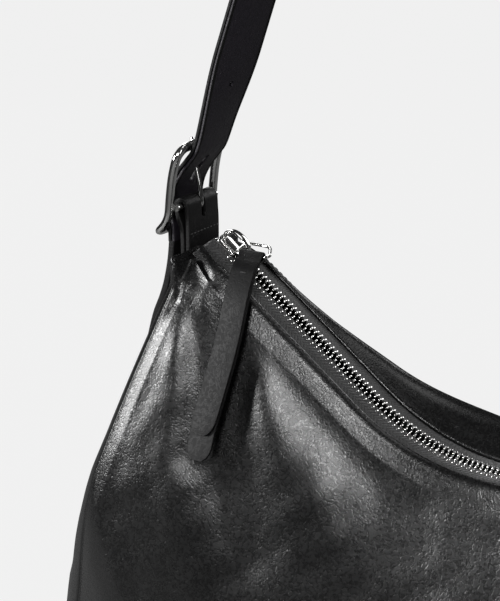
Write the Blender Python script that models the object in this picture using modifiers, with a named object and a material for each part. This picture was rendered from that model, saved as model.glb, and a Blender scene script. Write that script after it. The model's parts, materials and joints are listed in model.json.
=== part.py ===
"""Leather hobo bag with a dipped zip mouth, one buckled shoulder strap and a folded leather zip pull.

Metres, +Z up.  X runs along the bag, -Y is the front, and the bag stands on its base at z = 0.
"""
import math

import bmesh
import bpy
import numpy as np
from mathutils import Matrix, Vector

MM = 0.001

# ---- driving dimensions (millimetres) -------------------------------------------------------
CORNER_X = 152.0          # half distance between the two zip ends
CORNER_Z = 272.0          # height of the zip ends, where the strap tabs leave the bag
ZIP_SLOPE = math.radians(37.0)   # fall of the straight run of the zip from each corner
ZIP_BEND = 115.0          # radius of the bend in the middle of the zip
NECK_X = 157.0            # half width of the bag at its corners
BASE_FLARE = 53.0         # how much wider each side is at the base than at the corner
FLARE_START = 20.0        # depth below the corner where the sides start to flare
FLARE_DEPTH = 200.0       # depth over which they flare
NECK_DEPTH = 25.0         # half depth of the bag at its corners
MOUTH_DEPTH = 17.5        # half depth of the bag just under the mouth
BELLY_SLOPE = 0.36        # how fast front and back lean out below the mouth
BELLY_DEPTH = 64.0        # largest half depth
LEATHER = 2.0             # body leather
GUSSET_LEATHER = 1.4
LINING = 0.8
PANEL_FOOT = 2.9          # height of the panels' lower edge above the ground
BASE_THICK = 2.2
LINING_FOOT = 8.0         # height of the linings' lower edge

TAPE_WIDTH = 15.2         # zip tape, from the middle of the zip to its sewn edge
TAPE_DROOP = 0.20         # fall of each tape away from the teeth
CORNER_DIP = 4.2          # extra fall of the leather beside the zip's ends
BACK_SWELL = 20.0         # how far the back swells past the front's shape below the mouth
TEETH_INNER = 0.8
TEETH_OUTER = 3.1
SLIDER_AT = 9.0           # slider's middle, along the zip from the left corner
SLIDER_HALF = 5.5
RING_CENTRE = (-128.5, -1.5, CORNER_Z - 3.74)
RING_HALF_X = 8.3
RING_HALF_Y = 4.9
RING_WIRE = 0.75
RING_DIP = 0.24           # fall of the ring towards the front
PULL_DRIFT = -0.03        # how far the pull hangs off to the right, per length
PULL_SHIFT = 2.1          # the pull's place on the ring, right of its middle
PULL_WIDTH = 10.2
PULL_FRONT = 87.0         # length of the front layer
PULL_LEATHER = 1.3

STRAP_WIDTH = 25.0
STRAP_OUTER = 1.7
STRAP_LINING = 1.4
LAYER_GAP = 0.3
STRAP_LEAN = math.radians(18.5)
ARCH_RADIUS = 100.0
STRAP_TWIST = math.radians(16.0)
LEG_FOOT = (154.4, 41.5)  # where the straight legs start, out from the middle and above the corner
TAB_WIDTH = 24.0
BAR = (-162.4, 14.0)      # heel bar of the buckle, x and height above the corner
BAR_RADIUS = 1.6
FRAME_WIRE = 1.9
FRAME_HALF_WIDTH = 17.5
PRONG_RADIUS = 1.1

# How far each side swells past its seams: depths below the corner, then the swell at each.
SIDE_BULGE = ([5, 25, 54, 91, 135, 170, 220, 270], [7.3, 8.0, 10.0, 12.4, 18.0, 20.0, 14.0, 8.0])
# Side profile of the buckle frame, x and height above the corner, bottom bar to top bar.
FRAME_PROFILE = [(-172.0, 2.0), (-168.6, 4.8), (-165.5, 10.0), (-164.6, 18.0),
                 (-163.5, 27.0), (-161.7, 35.0), (-159.1, 42.0)]
# Middle line of the hanging pull from the ring down: out to the front, and height.
PULL_LINE = [(0.0, 0.0), (-7.2, -2.6), (-11.4, -6.6), (-17.9, -17.0), (-24.2, -33.0), (-33.0, -55.0),
             (-40.6, -75.0), (-44.0, -84.0)]
# Middle line of the strap where it threads the buckle, then of its free tail.
STRAP_THREAD = [(-167.4, -3.0), (-167.7, 4.0), (-168.6, 14.0), (-167.2, 22.0),
                (-163.2, 29.5), (-158.4, 35.5)]
TAIL_LINE = [(-167.4, -3.3), (-168.4, -12.0), (-170.4, -22.0), (-173.0, -30.0), (-176.7, -39.0),
             (-180.9, -54.0), (-186.0, -70.0), (-191.6, -85.0)]
STRAP_END_RIGHT = [(156.2, 38.5), (158.9, 31.0), (160.35, 23.0), (160.35, 10.0)]
PRONG_LINE = [(-159.7, 17.5), (-160.6, 23.0), (-162.3, 30.0), (-163.5, 36.0), (-163.7, 40.0), (-164.4, 43.5)]


# ---- scene helpers ---------------------------------------------------------------------------
def clear_scene():
    for item in list(bpy.data.objects):
        bpy.data.objects.remove(item, do_unlink=True)


def collection(name):
    made = bpy.data.collections.new(name)
    bpy.context.scene.collection.children.link(made)
    return made


def material(name, colour, roughness, metallic=0.0):
    made = bpy.data.materials.new(name)
    made.use_nodes = True
    shader = made.node_tree.nodes["Principled BSDF"]
    shader.inputs["Base Color"].default_value = (*colour, 1.0)
    shader.inputs["Roughness"].default_value = roughness
    shader.inputs["Metallic"].default_value = metallic
    return made


clear_scene()
PARTS = collection("hobo_bag")
CUTTERS = collection("cutters")
BODY_LEATHER = material("body_leather", (0.012, 0.012, 0.013), 0.38)
STRAP_LEATHER = material("strap_leather", (0.016, 0.014, 0.018), 0.45)
LINING_CLOTH = material("lining_cloth", (0.03, 0.03, 0.035), 0.8)
TAPE_CLOTH = material("zip_tape", (0.01, 0.01, 0.01), 0.9)
SILVER = material("polished_silver", (0.75, 0.75, 0.74), 0.12, 1.0)
BOARD = material("stiffener_board", (0.1, 0.09, 0.08), 0.8)


def place(name, mesh, finish, group=None):
    made = bpy.data.objects.new(name, mesh)
    mesh.materials.append(finish)
    (group or PARTS).objects.link(made)
    return made


def set_origin(made, point_mm):
    """Move the object's origin to a point without moving its shape."""
    point = Vector(point_mm) * MM
    made.data.transform(Matrix.Translation(-point))
    made.location = point


def grid_mesh(name, points):
    """Open surface through a grid of points, rows by columns, in millimetres."""
    rows, columns = points.shape[:2]
    index = np.arange(rows * columns).reshape(rows, columns)
    faces = np.stack([index[:-1, :-1], index[1:, :-1], index[1:, 1:], index[:-1, 1:]], axis=-1)
    mesh = bpy.data.meshes.new(name)
    mesh.from_pydata((points.reshape(-1, 3) * MM).tolist(), [], faces.reshape(-1, 4).tolist())
    mesh.shade_smooth()
    mesh.set_sharp_from_angle(angle=math.radians(50))
    return mesh


def shell(name, points, thickness, finish):
    """A sheet of even thickness about an open surface."""
    made = place(name, grid_mesh(name, points), finish)
    solid = made.modifiers.new("thickness", "SOLIDIFY")
    solid.thickness = thickness * MM
    solid.offset = 0.0
    return made


def inward(points, distance, towards):
    """Shift a surface along its own normals, to the side of the point it should move towards."""
    along_rows = np.gradient(points, axis=0)
    along_columns = np.gradient(points, axis=1)
    normal = np.cross(along_rows, along_columns)
    normal /= np.linalg.norm(normal, axis=-1, keepdims=True)
    facing = np.sum(normal * (np.asarray(towards) - points), axis=-1, keepdims=True)
    return points + distance * normal * np.sign(facing)


def smooth_line(points, spacing):
    """Catmull-Rom curve through a few points, read at about even spacing."""
    line = np.asarray(points, float)
    ends = np.vstack([2 * line[0] - line[1], line, 2 * line[-1] - line[-2]])
    found = []
    for before, start, stop, after in zip(ends, ends[1:], ends[2:], ends[3:]):
        count = max(2, int(round(np.linalg.norm(stop - start) / spacing)))
        for t in np.linspace(0, 1, count, endpoint=False):
            found.append(0.5 * (2 * start + (stop - before) * t
                                + (2 * before - 5 * start + 4 * stop - after) * t ** 2
                                + (3 * start - before - 3 * stop + after) * t ** 3))
    found.append(line[-1])
    return np.array(found)


def tube(name, line, radius, finish, cyclic=False):
    """Round wire along a line in millimetres."""
    curve = bpy.data.curves.new(name, "CURVE")
    curve.dimensions = "3D"
    curve.bevel_depth = radius * MM
    curve.bevel_resolution = 2
    curve.use_fill_caps = not cyclic
    spline = curve.splines.new("POLY")
    spline.points.add(len(line) - 1)
    for point, place_mm in zip(spline.points, line):
        point.co = (*(np.asarray(place_mm) * MM), 1.0)
    spline.use_cyclic_u = cyclic
    curve.materials.append(finish)
    made = bpy.data.objects.new(name, curve)
    PARTS.objects.link(made)
    return made


def tube_mesh(name, line, radius, finish, cyclic=False):
    """The same wire as a closed mesh."""
    wire = tube(name + "_wire", line, radius, finish, cyclic)
    seen = wire.evaluated_get(bpy.context.evaluated_depsgraph_get())
    mesh = bpy.data.meshes.new_from_object(seen)
    work = bmesh.new()
    work.from_mesh(mesh)
    bmesh.ops.remove_doubles(work, verts=work.verts, dist=0.00002)
    work.to_mesh(mesh)
    work.free()
    mesh.materials.clear()
    bpy.data.objects.remove(wire)
    return place(name, mesh, finish)


def block(name, low, high, finish, group=None):
    """Box between two corners in millimetres."""
    low, high = np.asarray(low, float), np.asarray(high, float)
    mesh = bpy.data.meshes.new(name)
    work = bmesh.new()
    bmesh.ops.create_cube(work, size=1.0)
    bmesh.ops.scale(work, verts=work.verts, vec=(high - low) * MM)
    bmesh.ops.translate(work, verts=work.verts, vec=(high + low) / 2 * MM)
    work.to_mesh(mesh)
    work.free()
    return place(name, mesh, finish, group)


def cross_bar(name, x, z, radius, half_length, finish, group=None, sides=16):
    """Cylinder lying along Y."""
    mesh = bpy.data.meshes.new(name)
    work = bmesh.new()
    bmesh.ops.create_cone(work, cap_ends=True, segments=sides, radius1=radius * MM,
                          radius2=radius * MM, depth=2 * half_length * MM)
    turn = Matrix.Translation(Vector((x, 0, z)) * MM) @ Matrix.Rotation(math.pi / 2, 4, "X")
    bmesh.ops.transform(work, matrix=turn, verts=work.verts)
    work.to_mesh(mesh)
    work.free()
    return place(name, mesh, finish, group)


def outline_plate(name, outline, half_thickness, finish, matrix):
    """Flat outline in its own XY plane, given a thickness and set in place by a matrix."""
    curve = bpy.data.curves.new(name, "CURVE")
    curve.dimensions = "2D"
    curve.fill_mode = "BOTH"
    curve.extrude = half_thickness * MM
    spline = curve.splines.new("POLY")
    spline.points.add(len(outline) - 1)
    for point, (across, up) in zip(spline.points, outline):
        point.co = (across * MM, up * MM, 0, 1)
    spline.use_cyclic_u = True
    curve.materials.append(finish)
    made = bpy.data.objects.new(name, curve)
    PARTS.objects.link(made)
    made.matrix_world = matrix
    return made


def combine(made, other, operation):
    """Boolean with a helper that is kept out of the model."""
    other.hide_render = True
    other.display_type = "WIRE"
    step = made.modifiers.new(operation.lower(), "BOOLEAN")
    step.operation = operation
    step.object = other
    step.solver = "EXACT"


# ---- shape of the bag ------------------------------------------------------------------------
BEND_X = ZIP_BEND * math.sin(ZIP_SLOPE)
STRAIGHT_RUN = (CORNER_X - BEND_X) / math.cos(ZIP_SLOPE)
MIDDLE_Z = CORNER_Z - ZIP_BEND * (1 - math.cos(ZIP_SLOPE)) - (CORNER_X - BEND_X) * math.tan(ZIP_SLOPE)
ZIP_LENGTH = 2 * (STRAIGHT_RUN + ZIP_BEND * ZIP_SLOPE)


def mouth_height(x):
    """Height of the zip's middle line at x: straight runs joined by a round bend."""
    away = np.minimum(np.abs(x), CORNER_X)
    bend = MIDDLE_Z + ZIP_BEND - np.sqrt(ZIP_BEND ** 2 - np.minimum(away, BEND_X) ** 2)
    return bend + np.maximum(away - BEND_X, 0) * math.tan(ZIP_SLOPE)


def zip_point(along):
    """Point and upward normal of the zip's middle line, by distance from the left corner."""
    half = ZIP_LENGTH / 2
    side = np.sign(along - half)
    away = np.abs(along - half)
    angle = np.minimum(away / ZIP_BEND, ZIP_SLOPE)
    spare = np.maximum(away - ZIP_BEND * ZIP_SLOPE, 0)
    x = side * (ZIP_BEND * np.sin(angle) + spare * math.cos(ZIP_SLOPE))
    z = MIDDLE_Z + ZIP_BEND * (1 - np.cos(angle)) + spare * math.sin(ZIP_SLOPE)
    zero = np.zeros_like(along)
    point = np.stack([x, zero, z], axis=-1)
    normal = np.stack([-side * np.sin(angle), zero, np.cos(angle)], axis=-1)
    return point, normal


def seam_x(depth):
    """Half width at the side seams, by depth below the corners."""
    share = np.clip((depth - FLARE_START) / FLARE_DEPTH, 0, 1)
    return NECK_X + BASE_FLARE * share * (1.15 - 0.15 * share)


def belly(depth):
    """Half depth of the bag, by depth below the mouth; it levels off at BELLY_DEPTH."""
    free = MOUTH_DEPTH + BELLY_SLOPE * depth
    return free / (1 + (free / BELLY_DEPTH) ** 6) ** (1 / 6)


def ease(value):
    value = np.clip(value, 0, 1)
    return value * value * (3 - 2 * value)


def corner_round(depth, across):
    """How far the half depth is drawn in towards the side seams low on the bag, as a factor."""
    start = 1 - 0.25 * ease((depth - 100) / 100)
    share = np.clip((np.abs(across) - start) / np.maximum(1 - start, 0.01), 0, 1)
    return 1 - 0.32 * ease((depth - 100) / 90) * share ** 1.5


def corner_dip(x):
    return CORNER_DIP * ease((np.abs(x) - 130) / 24)


def face_surface(side, columns=21):
    """Front (side -1) or back (side 1) of the bag, from the mouth's edge to the base."""
    across = np.sin(np.linspace(-1, 1, columns) * math.pi / 2.4) / math.sin(math.pi / 2.4)
    top_x = across * NECK_X
    top_z = mouth_height(top_x)
    swell = ease((135 - np.abs(top_x)) / 115) if side > 0 else np.zeros(columns)
    # Rolled edge over the tape: distance from the zip's middle and height over it, plain and fully swollen.
    plain = [(13.2, 2.4), (14.6, 2.5), (16.6, 1.5), (18.0, -2.0)]
    swollen = [(13.2, 2.4), (15.5, 3.6), (24.0, 12.0), (33.0, 11.5)]
    shares = np.array([0.0, 0.06, 0.13, 0.22, 0.33, 0.45, 0.58, 0.72, 0.86, 1.0])
    corner = ease((np.abs(top_x) - CORNER_X + 2) / (NECK_X - CORNER_X + 2))
    rows = []
    for (flat_out, flat_up), (full_out, full_up) in zip(plain, swollen):
        out = flat_out + (full_out - flat_out) * swell
        up = flat_up + (full_up - flat_up) * swell
        y = out + corner * (NECK_DEPTH - out)
        z = top_z + up / math.cos(ZIP_SLOPE) - TAPE_DROOP * flat_out - corner_dip(top_x)
        rows.append(np.stack([top_x, side * y, z], axis=-1))
    first = top_z - 8.0
    for share in shares:
        z = first + (PANEL_FOOT - first) * share
        x = across * (NECK_X + seam_x(CORNER_Z - z) - seam_x(CORNER_Z - top_z))
        y = belly(top_z - z) + BACK_SWELL * swell * np.exp((8 - top_z + z) / 50)
        y = (y + corner * np.maximum(NECK_DEPTH - y, 0)) * corner_round(CORNER_Z - z, across)
        rows.append(np.stack([x, side * y, z], axis=-1))
    return np.array(rows)


def side_surface(side):
    """Gusset on the left (side -1) or right (side 1), between the two side seams."""
    depths = np.array([9, 16, 25, 40, 60, 85, 115, 150, 190, 230, CORNER_Z - PANEL_FOOT])
    across = np.array([-1, -0.92, -0.75, -0.5, 0, 0.5, 0.75, 0.92, 1])
    rows = []
    for depth in depths:
        bulge = np.interp(depth, *SIDE_BULGE)
        half = max(float(belly(depth)), NECK_DEPTH) * corner_round(depth, 1.0) - 2.4
        x = seam_x(depth) + bulge * (1 - np.abs(across) ** 4)
        z = np.full_like(across, CORNER_Z - depth)
        rows.append(np.stack([side * x, across * half, z], axis=-1))
    return np.array(rows)


def build_body():
    middle = (0, 0, CORNER_Z * 0.4)
    edges = []
    for name, side in (("front", -1), ("back", 1)):
        surface = face_surface(side)
        shell(name + "_panel", surface, LEATHER, BODY_LEATHER)
        lining = inward(surface[5:, 1:-1], 3.0, middle)
        lining[-1, :, 2] = LINING_FOOT
        shell(name + "_lining", lining, LINING, LINING_CLOTH)
        edges.append(surface[-1])
    for name, side in (("left", -1), ("right", 1)):
        surface = side_surface(side)
        shell(name + "_gusset", surface, GUSSET_LEATHER, BODY_LEATHER)
        lining = inward(surface[3:, 1:-1], 3.0, middle)
        lining[:, :, 1] *= 0.93
        lining[-1, :, 2] = LINING_FOOT
        shell(name + "_side_lining", lining, LINING, LINING_CLOTH)
        edges.append(surface[-1])
    front, back, left, right = edges
    outline = np.vstack([front, right, back[::-1], left[::-1]])[:, :2]
    for name, scale, low, high, finish in (("base_panel", 1.0, 0.0, BASE_THICK, BODY_LEATHER),
                                           ("base_board", 0.955, 2.9, 4.5, BOARD),
                                           ("base_lining", 0.925, 4.9, 5.7, LINING_CLOTH)):
        lift = Matrix.Translation((0, 0, (low + high) / 2 * MM))
        outline_plate(name, outline * scale, (high - low) / 2, finish, lift)


# ---- zip -------------------------------------------------------------------------------------
def zip_strip(name, start, stop, inner, outer, lift, thickness, finish):
    """Strip that follows the zip between two distances from its middle line."""
    along = np.linspace(start, stop, 46)
    point, normal = zip_point(along)
    columns = []
    for y in (inner, outer):
        past = max(abs(y) - TEETH_OUTER, 0)
        fall = TAPE_DROOP * past + corner_dip(point[:, :1]) * past / (TAPE_WIDTH - TEETH_OUTER)
        columns.append(point + normal * (lift - fall) + np.array([0, y, 0]))
    return shell(name, np.stack(columns, axis=1), thickness, finish)


def slider_matrix():
    """Frame of the slider: X along the zip, Z out of the bag."""
    point, normal = zip_point(np.array([SLIDER_AT]))
    up = Vector(normal[0])
    along = Vector((up.z, 0, -up.x))
    across = Vector((0, 1, 0))
    turn = Matrix((along, across, up)).transposed().to_4x4()
    return Matrix.Translation(Vector(point[0]) * MM) @ turn


def build_zip():
    end = ZIP_LENGTH
    for name, side in (("front", -1), ("back", 1)):
        zip_strip(f"{name}_zip_tape", 2.0, end - 2.0, side * (TEETH_OUTER + 0.4), side * TAPE_WIDTH,
                  0.0, 0.7, TAPE_CLOTH)
        zip_strip(f"{name}_zip_teeth", SLIDER_AT, end - SLIDER_AT, side * TEETH_INNER, side * TEETH_OUTER,
                  0.0, 2.4, SILVER)
    for name, along, low, high in (("front_top_stop", 3.4, -3.1, -1.1), ("back_top_stop", 3.4, 1.1, 3.1),
                                   ("zip_bottom_stop", end - 6.5, -3.0, 3.0)):
        stop = block(name, (-1.3, low, -1.3), (1.3, high, 1.3), SILVER)
        point, normal = zip_point(np.array([along]))
        up = Vector(normal[0])
        turn = Matrix((Vector((up.z, 0, -up.x)), Vector((0, 1, 0)), up)).transposed().to_4x4()
        stop.matrix_world = Matrix.Translation(Vector(point[0]) * MM) @ turn

    frame = slider_matrix()
    half = SLIDER_HALF
    body = block("slider_body", (-half, -4.3, 1.7), (half, 4.3, 3.0), SILVER)
    pieces = [block("slider_floor", (-half, -4.3, -3.0), (half, 4.3, -1.7), SILVER, CUTTERS),
              block("slider_post", (-half + 0.6, -0.5, -2.2), (-half + 3.0, 0.5, 2.2), SILVER, CUTTERS)]
    for side in (-1, 1):
        for level in (-1, 1):
            y = sorted((side * 3.6, side * 4.25))
            z = sorted((level * 0.9, level * 2.0))
            pieces.append(block("slider_flange", (-half + 0.05, y[0], z[0]), (half - 0.05, y[1], z[1]),
                                SILVER, CUTTERS))
    for piece in pieces:
        piece.matrix_world = frame
        combine(body, piece, "UNION")
    body.matrix_world = frame

    arch = [(-4.5, 4.2), (-4.9, 6.0), (-2.4, 8.5), (2.0, 9.4), (6.2, 8.8), (8.4, 6.6), (7.4, 4.9), (4.6, 4.2)]
    line = [(along, 0.0, up) for along, up in smooth_line(arch, 1.3)]
    crown = tube("slider_crown", line, 0.85, SILVER)
    crown.matrix_world = frame


def ring_axis():
    """Point of the ring's left wire that lies in the slider's crown; the ring turns about that wire."""
    x, y, z = RING_CENTRE
    return x - RING_HALF_X, 0.0, z - y * RING_DIP / math.sqrt(1 - RING_DIP ** 2)


def pull_axis():
    """Middle of the ring's front wire, which the leather pull is folded over."""
    x, y, z = RING_CENTRE
    level = math.sqrt(1 - RING_DIP ** 2)
    return x, y - RING_HALF_Y * level, z - RING_HALF_Y * RING_DIP


def rounded_loop(half_across, half_up, corner, steps=5):
    """Rounded rectangle, as points round its middle."""
    points = []
    for sign_a, sign_u, start in ((1, 1, 0), (-1, 1, 90), (-1, -1, 180), (1, -1, 270)):
        for angle in np.radians(np.linspace(start, start + 90, steps)):
            points.append((sign_a * (half_across - corner) + corner * math.cos(angle),
                           sign_u * (half_up - corner) + corner * math.sin(angle)))
    return points


def build_pull():
    x, y, z = RING_CENTRE
    level = math.sqrt(1 - RING_DIP ** 2)
    loop = [(x + a, y + level * b, z + RING_DIP * b)
            for a, b in rounded_loop(RING_HALF_X, RING_HALF_Y, 1.5)]
    ring = tube_mesh("pull_ring", loop, RING_WIRE, SILVER, cyclic=True)
    set_origin(ring, ring_axis())

    # One strip of leather folded over the ring's front wire: up the back, round, and down the front.
    x, y, z = pull_axis()
    line = smooth_line(PULL_LINE, 4.5)
    step = np.gradient(line, axis=0)
    step /= np.linalg.norm(step, axis=1, keepdims=True)
    out = np.column_stack([step[:, 1], -step[:, 0]])
    length = np.concatenate([[0], np.cumsum(np.linalg.norm(np.diff(line, axis=0), axis=1))])
    near = PULL_LEATHER / 2 + LAYER_GAP / 2
    turn = RING_WIRE + 0.35 + PULL_LEATHER / 2
    lower = line[1:] - out[1:] * near
    upper = (line + out * near)[1:][length[1:] < PULL_FRONT]
    swing = np.radians(np.linspace(0, 180, 9))[:, None]
    bend = -out[0] * turn * np.cos(swing) - step[0] * turn * np.sin(swing)
    path = np.vstack([lower[::-1], bend, upper])
    drift = PULL_DRIFT * np.concatenate([length[:0:-1], np.zeros(len(bend)), length[1:len(upper) + 1]])
    columns = [np.column_stack([x + PULL_SHIFT + drift + side * PULL_WIDTH / 2, y + path[:, 0], z + path[:, 1]])
               for side in (-1, 1)]
    pull = shell("zip_pull_strip", np.stack(columns, axis=1), PULL_LEATHER, STRAP_LEATHER)
    set_origin(pull, pull_axis())


# ---- strap -----------------------------------------------------------------------------------
def strap_line():
    """Middle line of the strap, x and height above the corner, from the buckle to the right tab."""
    foot_x, foot_z = LEG_FOOT
    top_x = ARCH_RADIUS * math.cos(STRAP_LEAN)
    top_z = foot_z + (foot_x - top_x) / math.tan(STRAP_LEAN)
    centre_z = top_z - ARCH_RADIUS * math.sin(STRAP_LEAN)
    leg = [(-foot_x + (foot_x - top_x) * t, foot_z + (top_z - foot_z) * t) for t in np.linspace(0, 1, 12)]
    sweep = np.linspace(math.pi - STRAP_LEAN, STRAP_LEAN, 25)[1:-1]
    arch = [(ARCH_RADIUS * math.cos(a), centre_z + ARCH_RADIUS * math.sin(a)) for a in sweep]
    left = smooth_line(STRAP_THREAD + leg[:2], 4.0)[:-1]
    right = smooth_line([(-leg[1][0], leg[1][1]), (foot_x, foot_z)] + STRAP_END_RIGHT, 4.0)
    mirrored = [(-x, z) for x, z in leg[:1:-1]]
    return np.array(list(left) + leg[1:] + arch + mirrored + list(right))


def layer(name, line, depth, thickness, finish, twist=True):
    """Sheet that follows a line in the XZ plane, `depth` out from it, and leans with the strap."""
    step = np.gradient(line, axis=0)
    step /= np.linalg.norm(step, axis=1, keepdims=True)
    outward = np.column_stack([-step[:, 1], np.zeros(len(line)), step[:, 0]])
    lean = STRAP_TWIST * ease((line[:, 1] - 42) / 45) if twist else np.zeros(len(line))
    lean = lean[:, None]
    across = np.cos(lean) * np.array([0, 1, 0]) - np.sin(lean) * outward
    facing = np.cos(lean) * outward + np.sin(lean) * np.array([0, 1, 0])
    middle = np.column_stack([line[:, 0], np.zeros(len(line)), CORNER_Z + line[:, 1]]) + facing * depth
    columns = [middle + across * y for y in (-STRAP_WIDTH / 2, STRAP_WIDTH / 2)]
    return shell(name, np.stack(columns, axis=1), thickness, finish)


def build_strap():
    line = strap_line()
    outer_depth = (LAYER_GAP + STRAP_OUTER) / 2
    lining_depth = -(LAYER_GAP + STRAP_LINING) / 2
    slot = block("prong_slot", (-175, -1.6, CORNER_Z + 22), (-150, 1.6, CORNER_Z + 37.5), SILVER, CUTTERS)
    for name, depth, thickness in (("strap_outer", outer_depth, STRAP_OUTER),
                                   ("strap_lining", lining_depth, STRAP_LINING)):
        sheet = layer(name, line, depth, thickness, STRAP_LEATHER)
        combine(sheet, slot, "DIFFERENCE")
    tail = layer("strap_tail", smooth_line(TAIL_LINE, 6.0)[::-1], 0.0,
                 STRAP_OUTER + STRAP_LINING + LAYER_GAP, STRAP_LEATHER, twist=False)
    set_origin(tail, (TAIL_LINE[0][0], 0, CORNER_Z + TAIL_LINE[0][1]))


def frame_loop():
    """Closed loop of the buckle frame: a rounded rectangle laid on the curved side profile."""
    profile = smooth_line(FRAME_PROFILE, 1.5)
    lengths = np.concatenate([[0], np.cumsum(np.linalg.norm(np.diff(profile, axis=0), axis=1))])
    half = lengths[-1] / 2
    points = []
    for across, up in rounded_loop(FRAME_HALF_WIDTH, half, 4.5):
        points.append((across, up))
    dense = []
    for (a0, u0), (a1, u1) in zip(points, points[1:] + points[:1]):
        count = max(1, int(math.hypot(a1 - a0, u1 - u0) / 4.0))
        for t in np.linspace(0, 1, count, endpoint=False):
            dense.append((a0 + (a1 - a0) * t, u0 + (u1 - u0) * t))
    return [(np.interp(u + half, lengths, profile[:, 0]), a,
             CORNER_Z + np.interp(u + half, lengths, profile[:, 1])) for a, u in dense]


def build_buckle():
    bar_x, bar_up = BAR
    bar_z = CORNER_Z + bar_up
    tube_mesh("buckle_frame", frame_loop(), FRAME_WIRE, SILVER, cyclic=True)
    cross_bar("buckle_bar", bar_x, bar_z, BAR_RADIUS, FRAME_HALF_WIDTH - FRAME_WIRE - 0.3, SILVER)

    hook_radius = BAR_RADIUS + 0.35 + PRONG_RADIUS
    hook = [(bar_x + hook_radius * math.cos(a), bar_up + hook_radius * math.sin(a))
            for a in np.radians(np.linspace(130, 375, 15))]
    shaft = smooth_line([hook[-1]] + PRONG_LINE, 4.0)[1:]
    line = [(x, 0.0, CORNER_Z + up) for x, up in hook + [tuple(point) for point in shaft]]
    prong = tube_mesh("buckle_prong", line, PRONG_RADIUS, SILVER)
    set_origin(prong, (bar_x, 0, bar_z))

    # Left tab: a leather loop round the heel bar, slotted for the prong.
    neck_low = CORNER_Z - 16
    tab = cross_bar("left_tab", bar_x, bar_z, 4.1, TAB_WIDTH / 2, STRAP_LEATHER, sides=24)
    neck = block("tab_neck", (-162.8, -TAB_WIDTH / 2, neck_low), (-157.7, TAB_WIDTH / 2, bar_z - 2), SILVER, CUTTERS)
    hole = cross_bar("tab_hole", bar_x, bar_z, BAR_RADIUS + 0.3, TAB_WIDTH, SILVER, CUTTERS)
    slot = block("tab_slot", (-175, -1.8, CORNER_Z + 7), (-150, 1.8, CORNER_Z + 20), SILVER, CUTTERS)
    combine(tab, neck, "UNION")
    combine(tab, hole, "DIFFERENCE")
    combine(tab, slot, "DIFFERENCE")

    # Right tab: two ears of leather that hold the strap's sewn end between them.
    fork = [(157.7, -14), (162.8, -14), (162.8, 4), (164.1, 7), (164.1, 22), (162.35, 22), (162.35, 9.6),
            (158.35, 9.6), (158.35, 22), (156.6, 22), (156.6, 7), (157.7, 4)]
    stand = Matrix.Translation((0, 0, CORNER_Z * MM)) @ Matrix.Rotation(math.pi / 2, 4, "X")
    outline_plate("right_tab", fork, TAB_WIDTH / 2, STRAP_LEATHER, stand)


build_body()
build_zip()
build_pull()
build_strap()
build_buckle()
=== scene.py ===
"""Looks of a slouchy leather hobo bag: folded body, metal zip, buckled strap and hanging zip pull.

Sizes are in millimetres until a mesh is made; the model is in metres, +Z up, with -Y the front.
"""
import json
import logging
import math
from dataclasses import dataclass
from enum import Enum

import bpy
import numpy as np
from mathutils import Matrix, Vector

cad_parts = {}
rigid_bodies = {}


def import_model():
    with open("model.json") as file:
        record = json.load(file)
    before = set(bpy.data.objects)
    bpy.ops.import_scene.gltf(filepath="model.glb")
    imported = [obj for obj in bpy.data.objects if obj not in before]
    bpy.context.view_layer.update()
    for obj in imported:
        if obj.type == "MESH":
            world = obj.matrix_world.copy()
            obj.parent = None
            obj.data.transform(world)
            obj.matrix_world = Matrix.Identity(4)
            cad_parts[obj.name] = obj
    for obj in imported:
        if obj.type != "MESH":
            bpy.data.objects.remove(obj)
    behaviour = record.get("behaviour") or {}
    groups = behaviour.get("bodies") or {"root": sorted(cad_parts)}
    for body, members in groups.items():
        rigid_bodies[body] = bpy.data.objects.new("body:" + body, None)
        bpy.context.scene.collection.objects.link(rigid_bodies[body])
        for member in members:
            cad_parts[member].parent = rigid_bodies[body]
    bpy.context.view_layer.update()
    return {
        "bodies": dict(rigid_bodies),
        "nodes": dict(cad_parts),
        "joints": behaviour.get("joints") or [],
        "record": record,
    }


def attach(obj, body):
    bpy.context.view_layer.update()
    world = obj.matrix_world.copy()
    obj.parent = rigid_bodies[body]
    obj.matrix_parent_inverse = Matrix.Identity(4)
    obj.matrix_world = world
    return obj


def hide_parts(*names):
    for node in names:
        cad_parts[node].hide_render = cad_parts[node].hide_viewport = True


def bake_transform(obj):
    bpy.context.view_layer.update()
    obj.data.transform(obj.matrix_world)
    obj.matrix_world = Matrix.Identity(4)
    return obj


MM = 0.001
CRISP = 40.0  # edges that turn by more than this many degrees stay crisp
AXIS_X, AXIS_Y, AXIS_Z = np.eye(3)
LOG = logging.getLogger("hobo_bag")


class Side(Enum):
    """Front or back half of the bag: the sign of its Y."""

    FRONT = -1
    BACK = 1


class End(Enum):
    """Left end, with the buckle, or right end, with the sewn tab: the sign of its X."""

    LEFT = -1
    RIGHT = 1


# ---- surfaces --------------------------------------------------------------------------------
def ease(value: np.ndarray) -> np.ndarray:
    """Smooth step from 0 to 1: 3v squared minus 2v cubed, held at its ends."""
    value = np.clip(value, 0, 1)
    return value * value * (3 - 2 * value)


def unit(vectors: np.ndarray) -> np.ndarray:
    """Vectors scaled to length one along their last axis."""
    return vectors / np.maximum(np.linalg.norm(vectors, axis=-1, keepdims=True), 1e-9)


def lengths(line: np.ndarray) -> np.ndarray:
    """Distance along a line of points, from its first point to each of them."""
    return np.concatenate([[0], np.cumsum(np.linalg.norm(np.diff(line, axis=0), axis=1))])


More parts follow.
